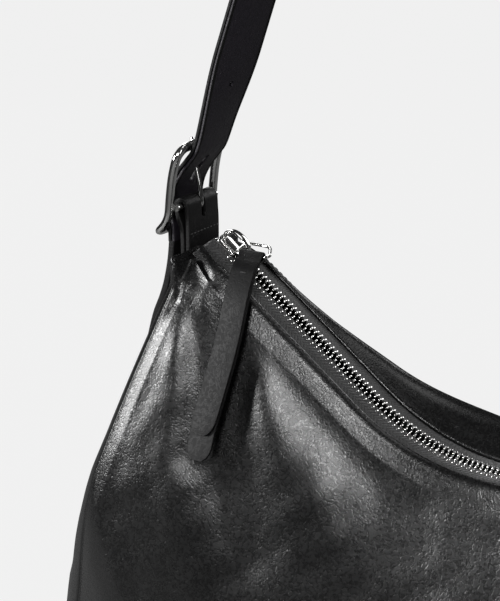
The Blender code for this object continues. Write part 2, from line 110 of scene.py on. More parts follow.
def faces_of_grid(rows: int, columns: int, wrap: bool = False, closed: bool = False) -> np.ndarray:
    """Quads of a grid of points.

    Args:
        rows: points along the first direction.
        columns: points along the second direction.
        wrap: whether the last column joins the first.
        closed: whether the last row joins the first.

    Returns:
        An array of four point numbers per face.
    """
    index = np.arange(rows * columns).reshape(rows, columns)
    if closed:
        index = np.vstack([index, index[:1]])
    if wrap:
        index = np.hstack([index, index[:, :1]])
    return np.stack([index[:-1, :-1], index[1:, :-1], index[1:, 1:], index[:-1, 1:]], -1).reshape(-1, 4)


def capped_faces(rings: int, sides: int) -> list:
    """Quads of a tube of rings, with one flat cap on its first ring and one on its last."""
    faces = faces_of_grid(rings, sides, wrap=True).tolist()
    faces.append(list(range(sides)))
    faces.append(list(range(rings * sides - 1, (rings - 1) * sides - 1, -1)))
    return faces


def make_object(name: str, points: np.ndarray, faces: list, uv: np.ndarray | None = None,
                sharp: float = CRISP) -> bpy.types.Object:
    """Put points and faces into a new object at the origin.

    Args:
        name: the object's name.
        points: points in millimetres, any shape ending in three.
        faces: lists of point numbers.
        uv: a UV pair per point, in metres, or None.
        sharp: edges that turn more than this angle in degrees stay crisp.

    Returns:
        The new object, smooth shaded.
    """
    mesh = bpy.data.meshes.new(name)
    mesh.from_pydata((points.reshape(-1, 3) * MM).tolist(), [], faces)
    if uv is not None:
        layer = mesh.uv_layers.new(name="UVMap")
        corner = np.empty(len(mesh.loops), dtype=np.int32)
        mesh.loops.foreach_get("vertex_index", corner)
        layer.data.foreach_set("uv", uv.reshape(-1, 2)[corner].astype(np.float32).ravel())
    mesh.shade_smooth()
    mesh.set_sharp_from_angle(angle=math.radians(sharp))
    made = bpy.data.objects.new(name, mesh)
    bpy.context.scene.collection.objects.link(made)
    return made


def sheet_object(name: str, points: np.ndarray, thickness: float, flip: bool = False,
                 uv: np.ndarray | None = None) -> bpy.types.Object:
    """A grid surface given a wall on its inner side by a Solidify modifier.

    Args:
        name: the object's name.
        points: the outer surface, rows by columns by 3.
        thickness: the wall, in millimetres.
        flip: whether the faces are turned over, so that they point outwards.
        uv: a UV pair per point, in metres, or None.

    Returns:
        The new object.
    """
    rows, columns = points.shape[:2]
    faces = faces_of_grid(rows, columns)
    if flip:
        faces = faces[:, ::-1]
    made = make_object(name, points, faces.tolist(), uv)
    wall = made.modifiers.new("wall", "SOLIDIFY")
    wall.thickness = thickness * MM
    wall.offset = -1.0
    return made


def sweep(name: str, centre: np.ndarray, across: np.ndarray, normal: np.ndarray, section: np.ndarray,
          closed: bool = False, sharp: float = CRISP) -> bpy.types.Object:
    """Carry a closed section along a path: point = centre + across * a + normal * b.

    Args:
        name: the object's name.
        centre: path points, n by 3.
        across: direction of the section's first coordinate, one for all points or one for each.
        normal: direction of its second coordinate, one for all points or one for each.
        section: m by 2 points, or n by m by 2 where the section changes along the path.
        closed: whether the path joins up.
        sharp: crisp edge angle in degrees.

    Returns:
        One closed body.
    """
    across, normal = (np.broadcast_to(way, centre.shape)[:, None] for way in (across, normal))
    if section.ndim == 2:
        section = np.broadcast_to(section, (len(centre), *section.shape))
    points = centre[:, None] + across * section[..., :1] + normal * section[..., 1:]
    uv = np.stack(np.broadcast_arrays(lengths(section[0])[None, :], lengths(centre)[:, None]), -1) * MM
    count, sides = points.shape[:2]
    if closed:
        faces = faces_of_grid(count, sides, wrap=True, closed=True).tolist()
    else:
        faces = capped_faces(count, sides)
    made = make_object(name, points, faces, uv, sharp)
    mend_normals(made)
    return made


def mend_normals(made: bpy.types.Object) -> None:
    """Turn a closed body's faces outwards if its signed volume is negative."""
    mesh = made.data
    mesh.calc_loop_triangles()
    points = np.empty(len(mesh.vertices) * 3)
    mesh.vertices.foreach_get("co", points)
    corners = np.empty(len(mesh.loop_triangles) * 3, dtype=np.int32)
    mesh.loop_triangles.foreach_get("vertices", corners)
    a, b, c = points.reshape(-1, 3)[corners.reshape(-1, 3)].transpose(1, 0, 2)
    if np.einsum("ij,ij->", a, np.cross(b, c)) < 0:
        mesh.flip_normals()


def smooth_line(points: list, spacing: float) -> np.ndarray:
    """Catmull-Rom curve through a few points, read at about even spacing.

    Args:
        points: the points to pass through.
        spacing: about how far apart the curve's own points are.

    Returns:
        The curve's points.
    """
    line = np.asarray(points, float)
    ends = np.vstack([2 * line[0] - line[1], line, 2 * line[-1] - line[-2]])
    found = []
    for before, start, stop, after in zip(ends, ends[1:], ends[2:], ends[3:]):
        count = max(2, int(round(np.linalg.norm(stop - start) / spacing)))
        t = np.linspace(0, 1, count, endpoint=False)[:, None]
        found.append(0.5 * (2 * start + (stop - before) * t
                            + (2 * before - 5 * start + 4 * stop - after) * t ** 2
                            + (3 * start - before - 3 * stop + after) * t ** 3))
    found.append(line[-1:])
    return np.vstack(found)


def rounded_section(half_a: float, half_b: float, radius: float, steps: int = 5) -> np.ndarray:
    """Rounded rectangle round its middle, as quarter circles at four corners.

    Args:
        half_a: half its size along the first coordinate.
        half_b: half its size along the second.
        radius: radius of the corners.
        steps: points in each quarter circle.

    Returns:
        Its points in order, four times steps of them.
    """
    angles = np.radians(np.linspace(0, 90, steps))
    quarter = np.stack([np.cos(angles), np.sin(angles)], -1) * radius
    turns = [((1, 1), 0), ((-1, 1), 1), ((-1, -1), 2), ((1, -1), 3)]
    parts = []
    for (sign_a, sign_b), turn in turns:
        spin = np.array([[math.cos(turn * math.pi / 2), math.sin(turn * math.pi / 2)],
                         [-math.sin(turn * math.pi / 2), math.cos(turn * math.pi / 2)]])
        parts.append(quarter @ spin + [sign_a * (half_a - radius), sign_b * (half_b - radius)])
    return np.vstack(parts)


def ellipse_section(half_a: float, half_b: float, sides: int = 20) -> np.ndarray:
    """Ellipse round its middle."""
    angle = np.linspace(0, 2 * math.pi, sides, endpoint=False)
    return np.stack([half_a * np.cos(angle), half_b * np.sin(angle)], -1)


def blob(rows: int = 6, sides: int = 10, power: float = 2.0) -> tuple:
    """Unit rounded body, by latitude and longitude: powers above two make it boxier.

    Args:
        rows: points from pole to pole.
        sides: points round it.
        power: boxiness.

    Returns:
        Its points, and its faces as lists of point numbers.
    """
    latitude = np.linspace(-math.pi / 2, math.pi / 2, rows)[1:-1, None]
    longitude = np.linspace(0, 2 * math.pi, sides, endpoint=False)[None, :]

    def shaped(value: np.ndarray) -> np.ndarray:
        """A sine or cosine drawn towards a square by the power."""
        return np.sign(value) * np.abs(value) ** (2 / power)

    x = shaped(np.cos(latitude)) * shaped(np.cos(longitude))
    y = shaped(np.cos(latitude)) * shaped(np.sin(longitude))
    z = shaped(np.sin(latitude)) * np.ones_like(longitude)
    points = np.vstack([np.stack([x, y, z], -1).reshape(-1, 3), [[0, 0, -1], [0, 0, 1]]])
    faces = faces_of_grid(rows - 2, sides, wrap=True)[:, ::-1].tolist()
    last = (rows - 2) * sides
    after = [(i + 1) % sides for i in range(sides)]
    faces += [[last, j, i] for i, j in enumerate(after)]
    faces += [[last + 1, last - sides + i, last - sides + j] for i, j in enumerate(after)]
    return points, faces


def scatter(name: str, places: np.ndarray, axes: np.ndarray, sizes: tuple, power: float = 2.0,
            rows: int = 6, sides: int = 8) -> bpy.types.Object:
    """Copies of one rounded body, each at its place with its own three axes.

    Args:
        name: the object's name.
        places: middles, n by 3.
        axes: the copy's x, y and z axes as rows, one 3 by 3 for all copies or one for each.
        sizes: half sizes along those axes.
        power: boxiness of the body.
        rows: points from pole to pole.
        sides: points round it.

    Returns:
        One object that holds all the copies.
    """
    points, faces = blob(rows, sides, power)
    shaped = points * np.asarray(sizes)
    axes = np.broadcast_to(axes, (len(places), 3, 3))
    everything = places[:, None] + np.einsum("pk,nkj->npj", shaped, axes)
    step = np.arange(len(places)) * len(points)
    many = []
    for face in faces:
        many.extend((np.asarray(face)[None, :] + step[:, None]).tolist())
    made = make_object(name, everything, many)
    made.data.shade_smooth()
    return made


def cut(made: bpy.types.Object, cutters: list) -> bpy.types.Object:
    """Take helper bodies out of a piece and leave a plain mesh behind.

    Args:
        made: the piece.
        cutters: the helper bodies, which are removed.

    Returns:
        The piece.
    """
    for cutter in cutters:
        step = made.modifiers.new("cut", "BOOLEAN")
        step.operation = "DIFFERENCE"
        step.object = cutter
        step.solver = "EXACT"
    bpy.context.view_layer.update()
    mesh = bpy.data.meshes.new_from_object(made.evaluated_get(bpy.context.evaluated_depsgraph_get()))
    made.modifiers.clear()
    made.data = mesh
    mesh.shade_smooth()
    mesh.set_sharp_from_angle(angle=math.radians(CRISP))
    for cutter in cutters:
        bpy.data.objects.remove(cutter)
    return made


def ripples(first: np.ndarray, second: np.ndarray, seed: int, short: float, long: float,
            count: int = 10) -> np.ndarray:
    """Irregular waves: a sum of sines in seeded directions.

    Args:
        first: places along the surface's first direction.
        second: places along its second.
        seed: seed of the random directions, lengths and phases.
        short: shortest wavelength.
        long: longest wavelength.
        count: number of waves.

    Returns:
        Their sum over the root of their number, so its size stays about one.
    """
    chance = np.random.default_rng(seed)
    total = np.zeros_like(first)
    for _ in range(count):
        angle, phase = chance.uniform(0, 2 * math.pi, 2)
        wave = 2 * math.pi / chance.uniform(short, long)
        total += np.sin(wave * (first * math.cos(angle) + second * math.sin(angle)) + phase)
    return total / math.sqrt(count)


# ---- finishes --------------------------------------------------------------------------------
def shader_group(name: str, inputs: dict, outputs: list) -> tuple:
    """Start a node group.

    Args:
        name: the group's name.
        inputs: each input's label and kind of socket.
        outputs: the labels of its float outputs.

    Returns:
        The group, its input node and its output node.
    """
    group = bpy.data.node_groups.new(name, "ShaderNodeTree")
    for label, kind in inputs.items():
        group.interface.new_socket(label, in_out="INPUT", socket_type=kind)
    for label in outputs:
        group.interface.new_socket(label, in_out="OUTPUT", socket_type="NodeSocketFloat")
    return group, group.nodes.new("NodeGroupInput"), group.nodes.new("NodeGroupOutput")


class NodeDesk:
    """Short ways of adding and joining shader nodes in one tree."""

    def __init__(self, tree: bpy.types.NodeTree) -> None:
        """Work in the given node tree."""
        self.tree = tree

    def join(self, source: bpy.types.NodeSocket, target: bpy.types.NodeSocket) -> None:
        """Link one socket to another."""
        self.tree.links.new(source, target)

    def math(self, operation: str, first: object, second: object = 0.0) -> bpy.types.NodeSocket:
        """One Math node; each argument is a socket or a number."""
        node = self.tree.nodes.new("ShaderNodeMath")
        node.operation = operation
        for socket, value in zip(node.inputs, (first, second)):
            if isinstance(value, bpy.types.NodeSocket):
                self.join(value, socket)
            else:
                socket.default_value = value
        return node.outputs[0]

    def noise(self, vector: bpy.types.NodeSocket, scale: float, detail: float = 3.0,
              distortion: float = 0.0) -> bpy.types.NodeSocket:
        """Smooth noise from 0 to 1, features about 1/scale metres apart."""
        node = self.tree.nodes.new("ShaderNodeTexNoise")
        node.inputs["Scale"].default_value = scale
        node.inputs["Detail"].default_value = detail
        node.inputs["Distortion"].default_value = distortion
        self.join(vector, node.inputs["Vector"])
        return node.outputs["Fac"]

    def cells(self, vector: bpy.types.NodeSocket, scale: float) -> bpy.types.NodeSocket:
        """Distance from the borders of irregular cells about 1/scale metres across."""
        node = self.tree.nodes.new("ShaderNodeTexVoronoi")
        node.feature = "DISTANCE_TO_EDGE"
        node.inputs["Scale"].default_value = scale
        self.join(vector, node.inputs["Vector"])
        return node.outputs["Distance"]

    def ramp(self, value: bpy.types.NodeSocket, low: float, high: float, at_low: float,
             at_high: float) -> bpy.types.NodeSocket:
        """Straight-line map of one range onto another, held at its ends."""
        node = self.tree.nodes.new("ShaderNodeMapRange")
        for label, number in (("From Min", low), ("From Max", high), ("To Min", at_low), ("To Max", at_high)):
            node.inputs[label].default_value = number
        self.join(value, node.inputs["Value"])
        return node.outputs["Result"]


def build_grain_group() -> bpy.types.NodeTree:
    """Leather grain: thin creases where noise crosses its middle, over fine pebbles."""
    group, given, result = shader_group("leather_grain", {"Vector": "NodeSocketVector"},
                                        ["Height", "Tone"])
    desk = NodeDesk(group)
    where = given.outputs["Vector"]
    broad = desk.noise(where, 14.0, 2.0)
    area = desk.ramp(broad, 0.40, 0.62, 0.15, 1.0)
    crease = desk.noise(where, 70.0, 4.0, 0.6)
    crease = desk.ramp(desk.math("ABSOLUTE", desk.math("SUBTRACT", crease, 0.5)), 0.0, 0.035, 0.0, 1.0)
    fine = desk.noise(where, 420.0, 4.0, 0.5)
    fine = desk.ramp(desk.math("ABSOLUTE", desk.math("SUBTRACT", fine, 0.5)), 0.0, 0.10, 0.0, 1.0)
    pebble = desk.ramp(desk.cells(where, 760.0), 0.0, 0.30, 0.0, 1.0)
    height = desk.math("ADD", desk.math("MULTIPLY", desk.math("MULTIPLY", crease, area), 0.30),
                       desk.math("MULTIPLY", fine, 0.24))
    height = desk.math("ADD", height, desk.math("MULTIPLY", pebble, 0.26))
    height = desk.math("ADD", height, desk.math("MULTIPLY", desk.noise(where, 110.0, 3.0), 0.5))
    desk.join(height, result.inputs["Height"])
    tone = desk.math("ADD", desk.math("MULTIPLY", broad, 0.6), desk.math("MULTIPLY", fine, 0.4))
    desk.join(tone, result.inputs["Tone"])
    return group


def build_weave_group() -> bpy.types.NodeTree:
    """Herringbone cloth: slanted ribs that change direction from one column to the next."""
    group, given, result = shader_group("herringbone", {"Vector": "NodeSocketVector"}, ["Height", "Tone"])
    desk = NodeDesk(group)
    split = group.nodes.new("ShaderNodeSeparateXYZ")
    desk.join(given.outputs["Vector"], split.inputs[0])
    across = desk.math("MULTIPLY", split.outputs["X"], 1 / 0.0030)
    zigzag = desk.math("PINGPONG", across, 1.0)
    slant = desk.math("ADD", desk.math("MULTIPLY", split.outputs["Y"], 1 / 0.0019), zigzag)
    rib = desk.math("ABSOLUTE", desk.math("SINE", desk.math("MULTIPLY", slant, math.pi)))
    fuzz = desk.ramp(desk.noise(given.outputs["Vector"], 1500.0, 3.0, 0.7), 0.44, 0.70, 0.0, 1.0)
    desk.join(desk.math("ADD", rib, desk.math("MULTIPLY", fuzz, 0.6)), result.inputs["Height"])
    ribs = desk.math("MULTIPLY", desk.math("POWER", rib, 3.0), 0.22)
    desk.join(desk.math("ADD", ribs, desk.math("MULTIPLY", fuzz, 0.78)), result.inputs["Tone"])
    return group


def build_polish_group() -> bpy.types.NodeTree:
    """Handling marks on polished metal: faint smears and hairlines."""
    group, given, result = shader_group("polish_marks", {"Vector": "NodeSocketVector"}, ["Marks", "Height"])
    desk = NodeDesk(group)
    where = given.outputs["Vector"]
    smear = desk.noise(where, 120.0, 4.0, 1.0)
    hair = desk.noise(where, 1500.0, 2.0)
    desk.join(desk.math("ADD", desk.math("MULTIPLY", smear, 0.7), desk.math("MULTIPLY", hair, 0.3)),
              result.inputs["Marks"])
    desk.join(smear, result.inputs["Height"])
    return group


@dataclass(frozen=True)
class Finish:
    """One finish: base colours, roughness range, relief and the effect group that drives them."""

    name: str
    slot: str
    dark: tuple
    light: tuple
    rough_low: float
    rough_high: float
    relief_mm: float
    effect: str
    metallic: float = 0.0
    coat: float = 0.0
    sheen: float = 0.0
    specular: float = 0.5
    from_uv: bool = False

    def build(self) -> bpy.types.Material:
        """Make the material: the group's tone mixes the colours, its height feeds a Bump node."""
        made = bpy.data.materials.new(self.name)
        made.use_nodes = True
        tree = made.node_tree
        desk = NodeDesk(tree)
        shader = tree.nodes["Principled BSDF"]
        place = tree.nodes.new("ShaderNodeTexCoord")
        effect = tree.nodes.new("ShaderNodeGroup")
        effect.node_tree = bpy.data.node_groups[self.effect]
        desk.join(place.outputs["UV" if self.from_uv else "Object"], effect.inputs["Vector"])
        tone = effect.outputs["Marks" if self.effect == "polish_marks" else "Tone"]
        mix = tree.nodes.new("ShaderNodeMix")
        mix.data_type = "RGBA"
        mix.inputs["A"].default_value = (*self.dark, 1.0)
        mix.inputs["B"].default_value = (*self.light, 1.0)
        desk.join(tone, mix.inputs["Factor"])
        desk.join(mix.outputs["Result"], shader.inputs["Base Color"])
        desk.join(desk.ramp(tone, 0.25, 0.8, self.rough_low, self.rough_high), shader.inputs["Roughness"])
        shader.inputs["Metallic"].default_value = self.metallic
        shader.inputs["Coat Weight"].default_value = self.coat
        shader.inputs["Coat Roughness"].default_value = 0.22
        shader.inputs["Sheen Weight"].default_value = self.sheen
        shader.inputs["Specular IOR Level"].default_value = self.specular
        bump = tree.nodes.new("ShaderNodeBump")
        bump.inputs["Strength"].default_value = 1.0
        bump.inputs["Distance"].default_value = self.relief_mm * MM
        desk.join(effect.outputs["Height"], bump.inputs["Height"])
        desk.join(bump.outputs["Normal"], shader.inputs["Normal"])
        return made


FINISHES = (
    Finish("black_body_leather", "body_leather", (0.003, 0.003, 0.0031), (0.007, 0.007, 0.0072),
           0.22, 0.34, 0.115, "leather_grain", coat=0.08),
    Finish("black_strap_leather", "strap_leather", (0.002, 0.002, 0.0021), (0.005, 0.0049, 0.0052),
           0.46, 0.62, 0.10, "leather_grain", specular=0.25),
    Finish("strap_inner_leather", "strap_leather", (0.0065, 0.0055, 0.0085), (0.015, 0.012, 0.018),
           0.42, 0.62, 0.14, "leather_grain"),
    Finish("stitch_thread", "strap_leather", (0.003, 0.003, 0.003), (0.012, 0.012, 0.012),
           0.5, 0.75, 0.05, "leather_grain", sheen=0.2),
    Finish("lining_cloth_woven", "lining_cloth", (0.02, 0.02, 0.022), (0.045, 0.045, 0.05),
           0.75, 0.95, 0.08, "leather_grain", sheen=0.3),
    Finish("zip_tape_woven", "zip_tape", (0.0012, 0.0012, 0.0012), (0.06, 0.06, 0.062),
           0.6, 0.9, 0.20, "herringbone", sheen=0.25, from_uv=True),
    Finish("silver_polished", "polished_silver", (0.72, 0.72, 0.71), (0.86, 0.86, 0.85),
           0.05, 0.16, 0.01, "polish_marks", metallic=1.0),
    Finish("stiffener_board_matte", "stiffener_board", (0.07, 0.06, 0.05), (0.13, 0.11, 0.1),
           0.7, 0.9, 0.1, "leather_grain"),
)


class Wardrobe:
    """All the finishes, built once, and the dressing of pieces in them."""

    def __init__(self) -> None:
        """Build the shared groups and every material."""
        build_grain_group()
        build_weave_group()
        build_polish_group()
        self.made = {finish.name: (finish.build(), finish.slot) for finish in FINISHES}

    def dress(self, piece: bpy.types.Object, finish: str, body: str | None = None,
              nodes: tuple = ()) -> bpy.types.Object:
        """Give a piece its finish, what it rides on and the CAD nodes it stands for.

        Args:
            piece: the piece.
            finish: the finish's name.
            body: the body it rides on, or None where another call says so.
            nodes: the CAD nodes that it replaces.

        Returns:
            The piece.
        """
        material, slot = self.made[finish]
        piece.data.materials.clear()
        piece.data.materials.append(material)
        if nodes:
            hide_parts(*nodes)
        if body:
            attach(piece, body)
        LOG.info("%s in %s", piece.name, finish)
        return piece


# ---- body ------------------------------------------------------------------------------------
@dataclass
class BagBody:
    """The leather body: two sagging faces, two sides and a base."""

    corner_x: float = 152.0
    corner_z: float = 272.0
    slope: float = math.radians(37.0)
    bend: float = 115.0
    neck_x: float = 157.0
    flare: float = 53.0
    neck_depth: float = 25.0
    belly_top: float = 17.5
    belly_growth: float = 0.36
    belly_full: float = 64.0
    droop: float = 0.20
    dip: float = 4.2
    pinch: float = 4.6
    back_swell: float = 20.0
    foot: float = 2.4
    foot_round: float = 6.0
    face_wall: float = 0.9
    side_wall: float = 1.1
    welt: float = 1.15
    stitch_pitch: float = 3.1
    # Rays of folds from each corner: angle below level, height, and how fast they widen.
    rays: tuple = ((22, 1.7, 0.060), (36, -1.3, 0.050), (50, 2.6, 0.080), (66, -1.6, 0.055), (78, 1.6, 0.06))
    # Swell of the sides between their seams: depth below the corners, and how far out.
    side_swell: tuple = ((5, 7.3), (25, 8), (54, 10), (91, 12.4), (135, 18), (170, 20), (220, 14), (270, 8))
    # Base from the middle of its underside round the rim to its middle above: share of the rim, and height.
    base_profile: tuple = ((0.0, 0.0), (0.5, 0.0), (0.9, 0.0), (0.975, 0.05), (0.992, 0.7), (0.996, 1.5),
                           (0.985, 2.2), (0.9, 2.3), (0.5, 2.3), (0.0, 2.3))

    @property
    def bend_x(self) -> float:
        """Half width of the zip's round bend."""
        return self.bend * math.sin(self.slope)

    def mouth_height(self, x: np.ndarray) -> np.ndarray:
        """Height of the zip's middle line: straight runs joined by a round bend.

        Args:
            x: places across the bag.

        Returns:
            The height at each.
        """
        middle = (self.corner_z - self.bend * (1 - math.cos(self.slope))
                  - (self.corner_x - self.bend_x) * math.tan(self.slope))
        away = np.minimum(np.abs(x), self.corner_x)
        low = middle + self.bend - np.sqrt(self.bend ** 2 - np.minimum(away, self.bend_x) ** 2)
        return low + np.maximum(away - self.bend_x, 0) * math.tan(self.slope)

    def zip_line(self, along: np.ndarray) -> tuple:
        """Zip middle line: an arc of the bend's radius between two straight runs.

        Args:
            along: distances along it from the left corner.

        Returns:
            Points, upward normals and directions along the zip.
        """
        half = self.zip_length() / 2
        side = np.sign(along - half)
        away = np.abs(along - half)
        angle = np.minimum(away / self.bend, self.slope)
        spare = np.maximum(away - self.bend * self.slope, 0)
        x = side * (self.bend * np.sin(angle) + spare * math.cos(self.slope))
        zero = np.zeros_like(along)
        point = np.stack([x, zero, self.mouth_height(x)], -1)
        normal = np.stack([-side * np.sin(angle), zero, np.cos(angle)], -1)
        return point, normal, np.stack([normal[:, 2], zero, -normal[:, 0]], -1)

    def zip_axes(self, along: np.ndarray) -> tuple:
        """Points of the zip's middle line, and its three axes there: along, across and out."""
        point, normal, step = self.zip_line(along)
        return point, np.stack([step, np.broadcast_to(AXIS_Y, step.shape), normal], 1)

    def zip_length(self) -> float:
        """Length of the zip along its bend."""
        return 2 * ((self.corner_x - self.bend_x) / math.cos(self.slope) + self.bend * self.slope)

    def seam_x(self, depth: np.ndarray) -> np.ndarray:
        """Half width at the side seams, by depth below the corners: a flare that slows as it goes."""
        share = np.clip((depth - 20) / 200, 0, 1)
        return self.neck_x + self.flare * share * (1.15 - 0.15 * share)

    def belly(self, depth: np.ndarray) -> np.ndarray:
        """Half depth, by depth below the mouth: straight growth held softly under its fullest."""
        free = self.belly_top + self.belly_growth * depth
        return free / (1 + (free / self.belly_full) ** 6) ** (1 / 6)

    def corner_round(self, depth: np.ndarray, across: np.ndarray) -> np.ndarray:
        """How far the half depth is drawn in towards the side seams, low on the bag.

        Args:
            depth: depth below the corners.
            across: place from -1 at one seam to 1 at the other.

        Returns:
            A factor of the half depth, 1 where nothing is drawn in.
        """
        start = 1 - 0.25 * ease((depth - 100) / 100)
        share = np.clip((np.abs(across) - start) / np.maximum(1 - start, 0.01), 0, 1)
        return 1 - 0.32 * ease((depth - 100) / 90) * share ** 1.5

    def seam_depth(self, depth: np.ndarray) -> np.ndarray:
        """Half depth at the side seams, by depth below the corners."""
        return np.maximum(self.belly(depth), self.neck_depth) * self.corner_round(depth, np.ones(1))

    def corner_dip(self, x: np.ndarray) -> np.ndarray:
        """Extra fall of the leather and tape beside the zip's ends."""
        return self.dip * ease((np.abs(x) - 130) / 24)

    def swell(self, x: np.ndarray, side: Side) -> np.ndarray:
        """How far a face swells beside the mouth: up to 1 on the back, 0 on the front."""
        return ease((135 - np.abs(x)) / 115) if side is Side.BACK else np.zeros_like(x)

    def turned_under(self, out: np.ndarray, z: np.ndarray) -> np.ndarray:
        """Distance out of a wall, drawn in by part of a quarter circle at the foot."""
        turn = np.clip(self.foot_round - (z - self.foot), 0, self.foot_round)
        return out - (self.foot_round - np.sqrt(self.foot_round ** 2 - turn ** 2)) * 0.7

    def folds(self, x: np.ndarray, z: np.ndarray, side: Side) -> np.ndarray:
        """Outward swell of a face: soft rays from both corners, a slow sag and small puckers.

        A ray is a ridge along a line from the corner, its height a bell across the line that
        widens and fades along it. The leather lies calm at the mouth, the foot and under the pull.

        Args:
            x: places across the bag.
            z: heights.
            side: front or back.

        Returns:
            How far out the leather stands at each place.
        """
        total = 0.95 * ripples(x, z, 11 + side.value, 50, 120)
        total += 0.17 * ripples(x, z, 23 + side.value, 16, 38)
        for corner in (-1, 1):
            for angle, height, spread in self.rays:
                lean = math.radians(angle + 3 * side.value * corner)
                away_x, away_z = (x - corner * self.neck_x) * -corner, self.corner_z - z
                along = away_x * math.cos(lean) + away_z * math.sin(lean)
                off = -away_x * math.sin(lean) + away_z * math.cos(lean)
                width = 5 + spread * np.maximum(along, 0)
                total += height * np.exp(-(off / width) ** 2) * ease(along / 45) * ease((250 - along) / 180)
        calm = ease((self.mouth_height(x) - z) / 26) * ease((z - 4) / 26)
        under_pull = np.exp(-((x + 127) / 17) ** 4) * ease((z - 168) / 14) * float(side is Side.FRONT)
        return np.clip(total, -1.6, 3.2) * calm * (1 - under_pull) - 0.4 * under_pull * calm

    def face_grid(self, side: Side, columns: int = 221, rows: int = 96) -> np.ndarray:
        """Outer surface of a face, from under its turned edge at the mouth down to the base.

        The turned edge is an outline of (out, up) pairs, part way from the plain one to the
        swollen one. Below it, a row's distance out is the belly, drawn in at corners and foot,
        with the folds on top.

        Args:
            side: front or back.
            columns: points across.
            rows: points down, below the turned edge.

        Returns:
            Points, from the hem down.
        """
        t = np.linspace(-1, 1, columns)
        across = np.sin(t * math.pi / 2.25) / math.sin(math.pi / 2.25)
        top_x = across * self.neck_x
        top_z = self.mouth_height(top_x)
        corner = ease((np.abs(top_x) - 153.5) / (self.neck_x - 153.5))
        broad = ease((np.abs(top_x) - 128) / (self.neck_x - 128))
        pinch = ease((np.abs(top_x) - 140) / 14) * (1 - corner) * self.pinch
        swell = self.swell(top_x, side)
        neck = self.neck_depth + 1
        hem = ((16.4, 1.1), (15.0, 1.05), (14.1, 1.1), (13.5, 1.35), (13.2, 1.9), (13.3, 2.5))
        plain = hem + ((13.75, 3.0), (14.5, 3.3), (15.3, 3.2), (16.1, 2.85), (17.0, 2.2), (18.0, 0.9),
                       (18.9, -1.2))
        swollen = hem + ((13.75, 3.1), (14.7, 3.9), (17.0, 6.0), (20.5, 9.6), (25.0, 12.4), (30.0, 13.2),
                         (35.0, 11.4))
        points = []
        for (out_a, up_a), (out_b, up_b) in zip(plain, swollen):
            out = out_a + (out_b - out_a) * swell
            up = up_a + (up_b - up_a) * swell
            y = out - pinch + corner * (neck + pinch - out)
            fall = self.droop * out_a + self.corner_dip(top_x)
            z = top_z + up / math.cos(self.slope) * (1 - 0.6 * corner) - fall
            points.append(np.stack([top_x, side.value * y, z], -1))
        first = top_z - 8.0
        for share in np.linspace(0, 1, rows) ** 1.15:
            z = first + (self.foot - first) * share
            x = across * (self.neck_x + self.seam_x(self.corner_z - z) - self.seam_x(self.corner_z - top_z))
            depth = top_z - z
            y = self.belly(depth) + 1.0 + self.back_swell * swell * np.exp((8 - depth) / 50)
            y = y - pinch * ease(1 - share * 9)
            spread = corner + (broad - corner) * ease((depth - 8) / 18)
            y = y + spread * np.maximum(neck - y, 0)
            y = self.turned_under(y * self.corner_round(self.corner_z - z, across), z)
            seam_calm = ease((1 - np.abs(across)) / 0.09)
            y = y + self.folds(x, z, side) * seam_calm
            points.append(np.stack([x, side.value * y, z], -1))
        return np.array(points)

    def side_grid(self, end: End) -> np.ndarray:
        """Outer surface of a side: a swelling strip between the two seams.

        Args:
            end: left or right.

        Returns:
            Points, from the neck down.
        """
        depth = np.linspace(9, self.corner_z - self.foot, 80)[:, None]
        across = np.linspace(-1, 1, 49)[None, :]
        swell = np.interp(depth, *zip(*self.side_swell))
        half = self.seam_depth(depth) - 0.9
        fold = 0.5 * ripples(across * half, depth * np.ones_like(across), 41 + end.value, 30, 80)
        fold = (fold + 0.8 * np.cos(across * 9 + depth / 40)) * ease((1 - np.abs(across)) / 0.4)
        fold = fold * ease((depth - 95) / 50)
        x = self.seam_x(depth) + 0.5 + swell * (1 - np.abs(across) ** 4) + np.clip(fold, -1.2, 1.6)
        z = (self.corner_z - depth) * np.ones_like(across)
        return np.stack([end.value * self.turned_under(x, z), across * half, z], -1)

    def seam_line(self, end: End, side: Side) -> np.ndarray:
        """The seam between a face and a side, from the neck to the base."""
        depth = np.linspace(8, self.corner_z - self.foot - 1, 90)
        y = self.seam_depth(depth) - 0.6
        return np.stack([end.value * (self.seam_x(depth) + 0.2), side.value * y, self.corner_z - depth], -1)

    def build(self, wardrobe: Wardrobe) -> None:
        """Make and dress the faces, sides, base and seams."""
        outline = []
        for side in Side:
            grid = self.face_grid(side)
            label = side.name.lower()
            face = sheet_object(f"{label}_face", grid, self.face_wall, flip=side is Side.BACK)
            wardrobe.dress(face, "black_body_leather", "bag", (f"{label}_panel",))
            outline.append(grid[-1])
            self.stitch_edge(wardrobe, side)
        for end in End:
            grid = self.side_grid(end)
            label = end.name.lower()
            gusset = sheet_object(f"{label}_side", grid, self.side_wall, flip=end is End.RIGHT)
            wardrobe.dress(gusset, "black_body_leather", "bag", (f"{label}_gusset",))
            outline.append(grid[-1])
            for side in Side:
                line = self.seam_line(end, side)
                step = unit(np.gradient(line, axis=0))
                out = unit(np.cross(step, AXIS_Y * side.value * end.value))
                welt = sweep(f"{label}_{side.name.lower()}_welt", line, out, unit(np.cross(step, out)),
                             ellipse_section(self.welt, self.welt, 12))
                wardrobe.dress(welt, "black_body_leather", "bag")
        front, back, left, right = outline
        self.build_base(wardrobe, np.vstack([front, right[1:-1], back[::-1], left[::-1][1:-1]]))

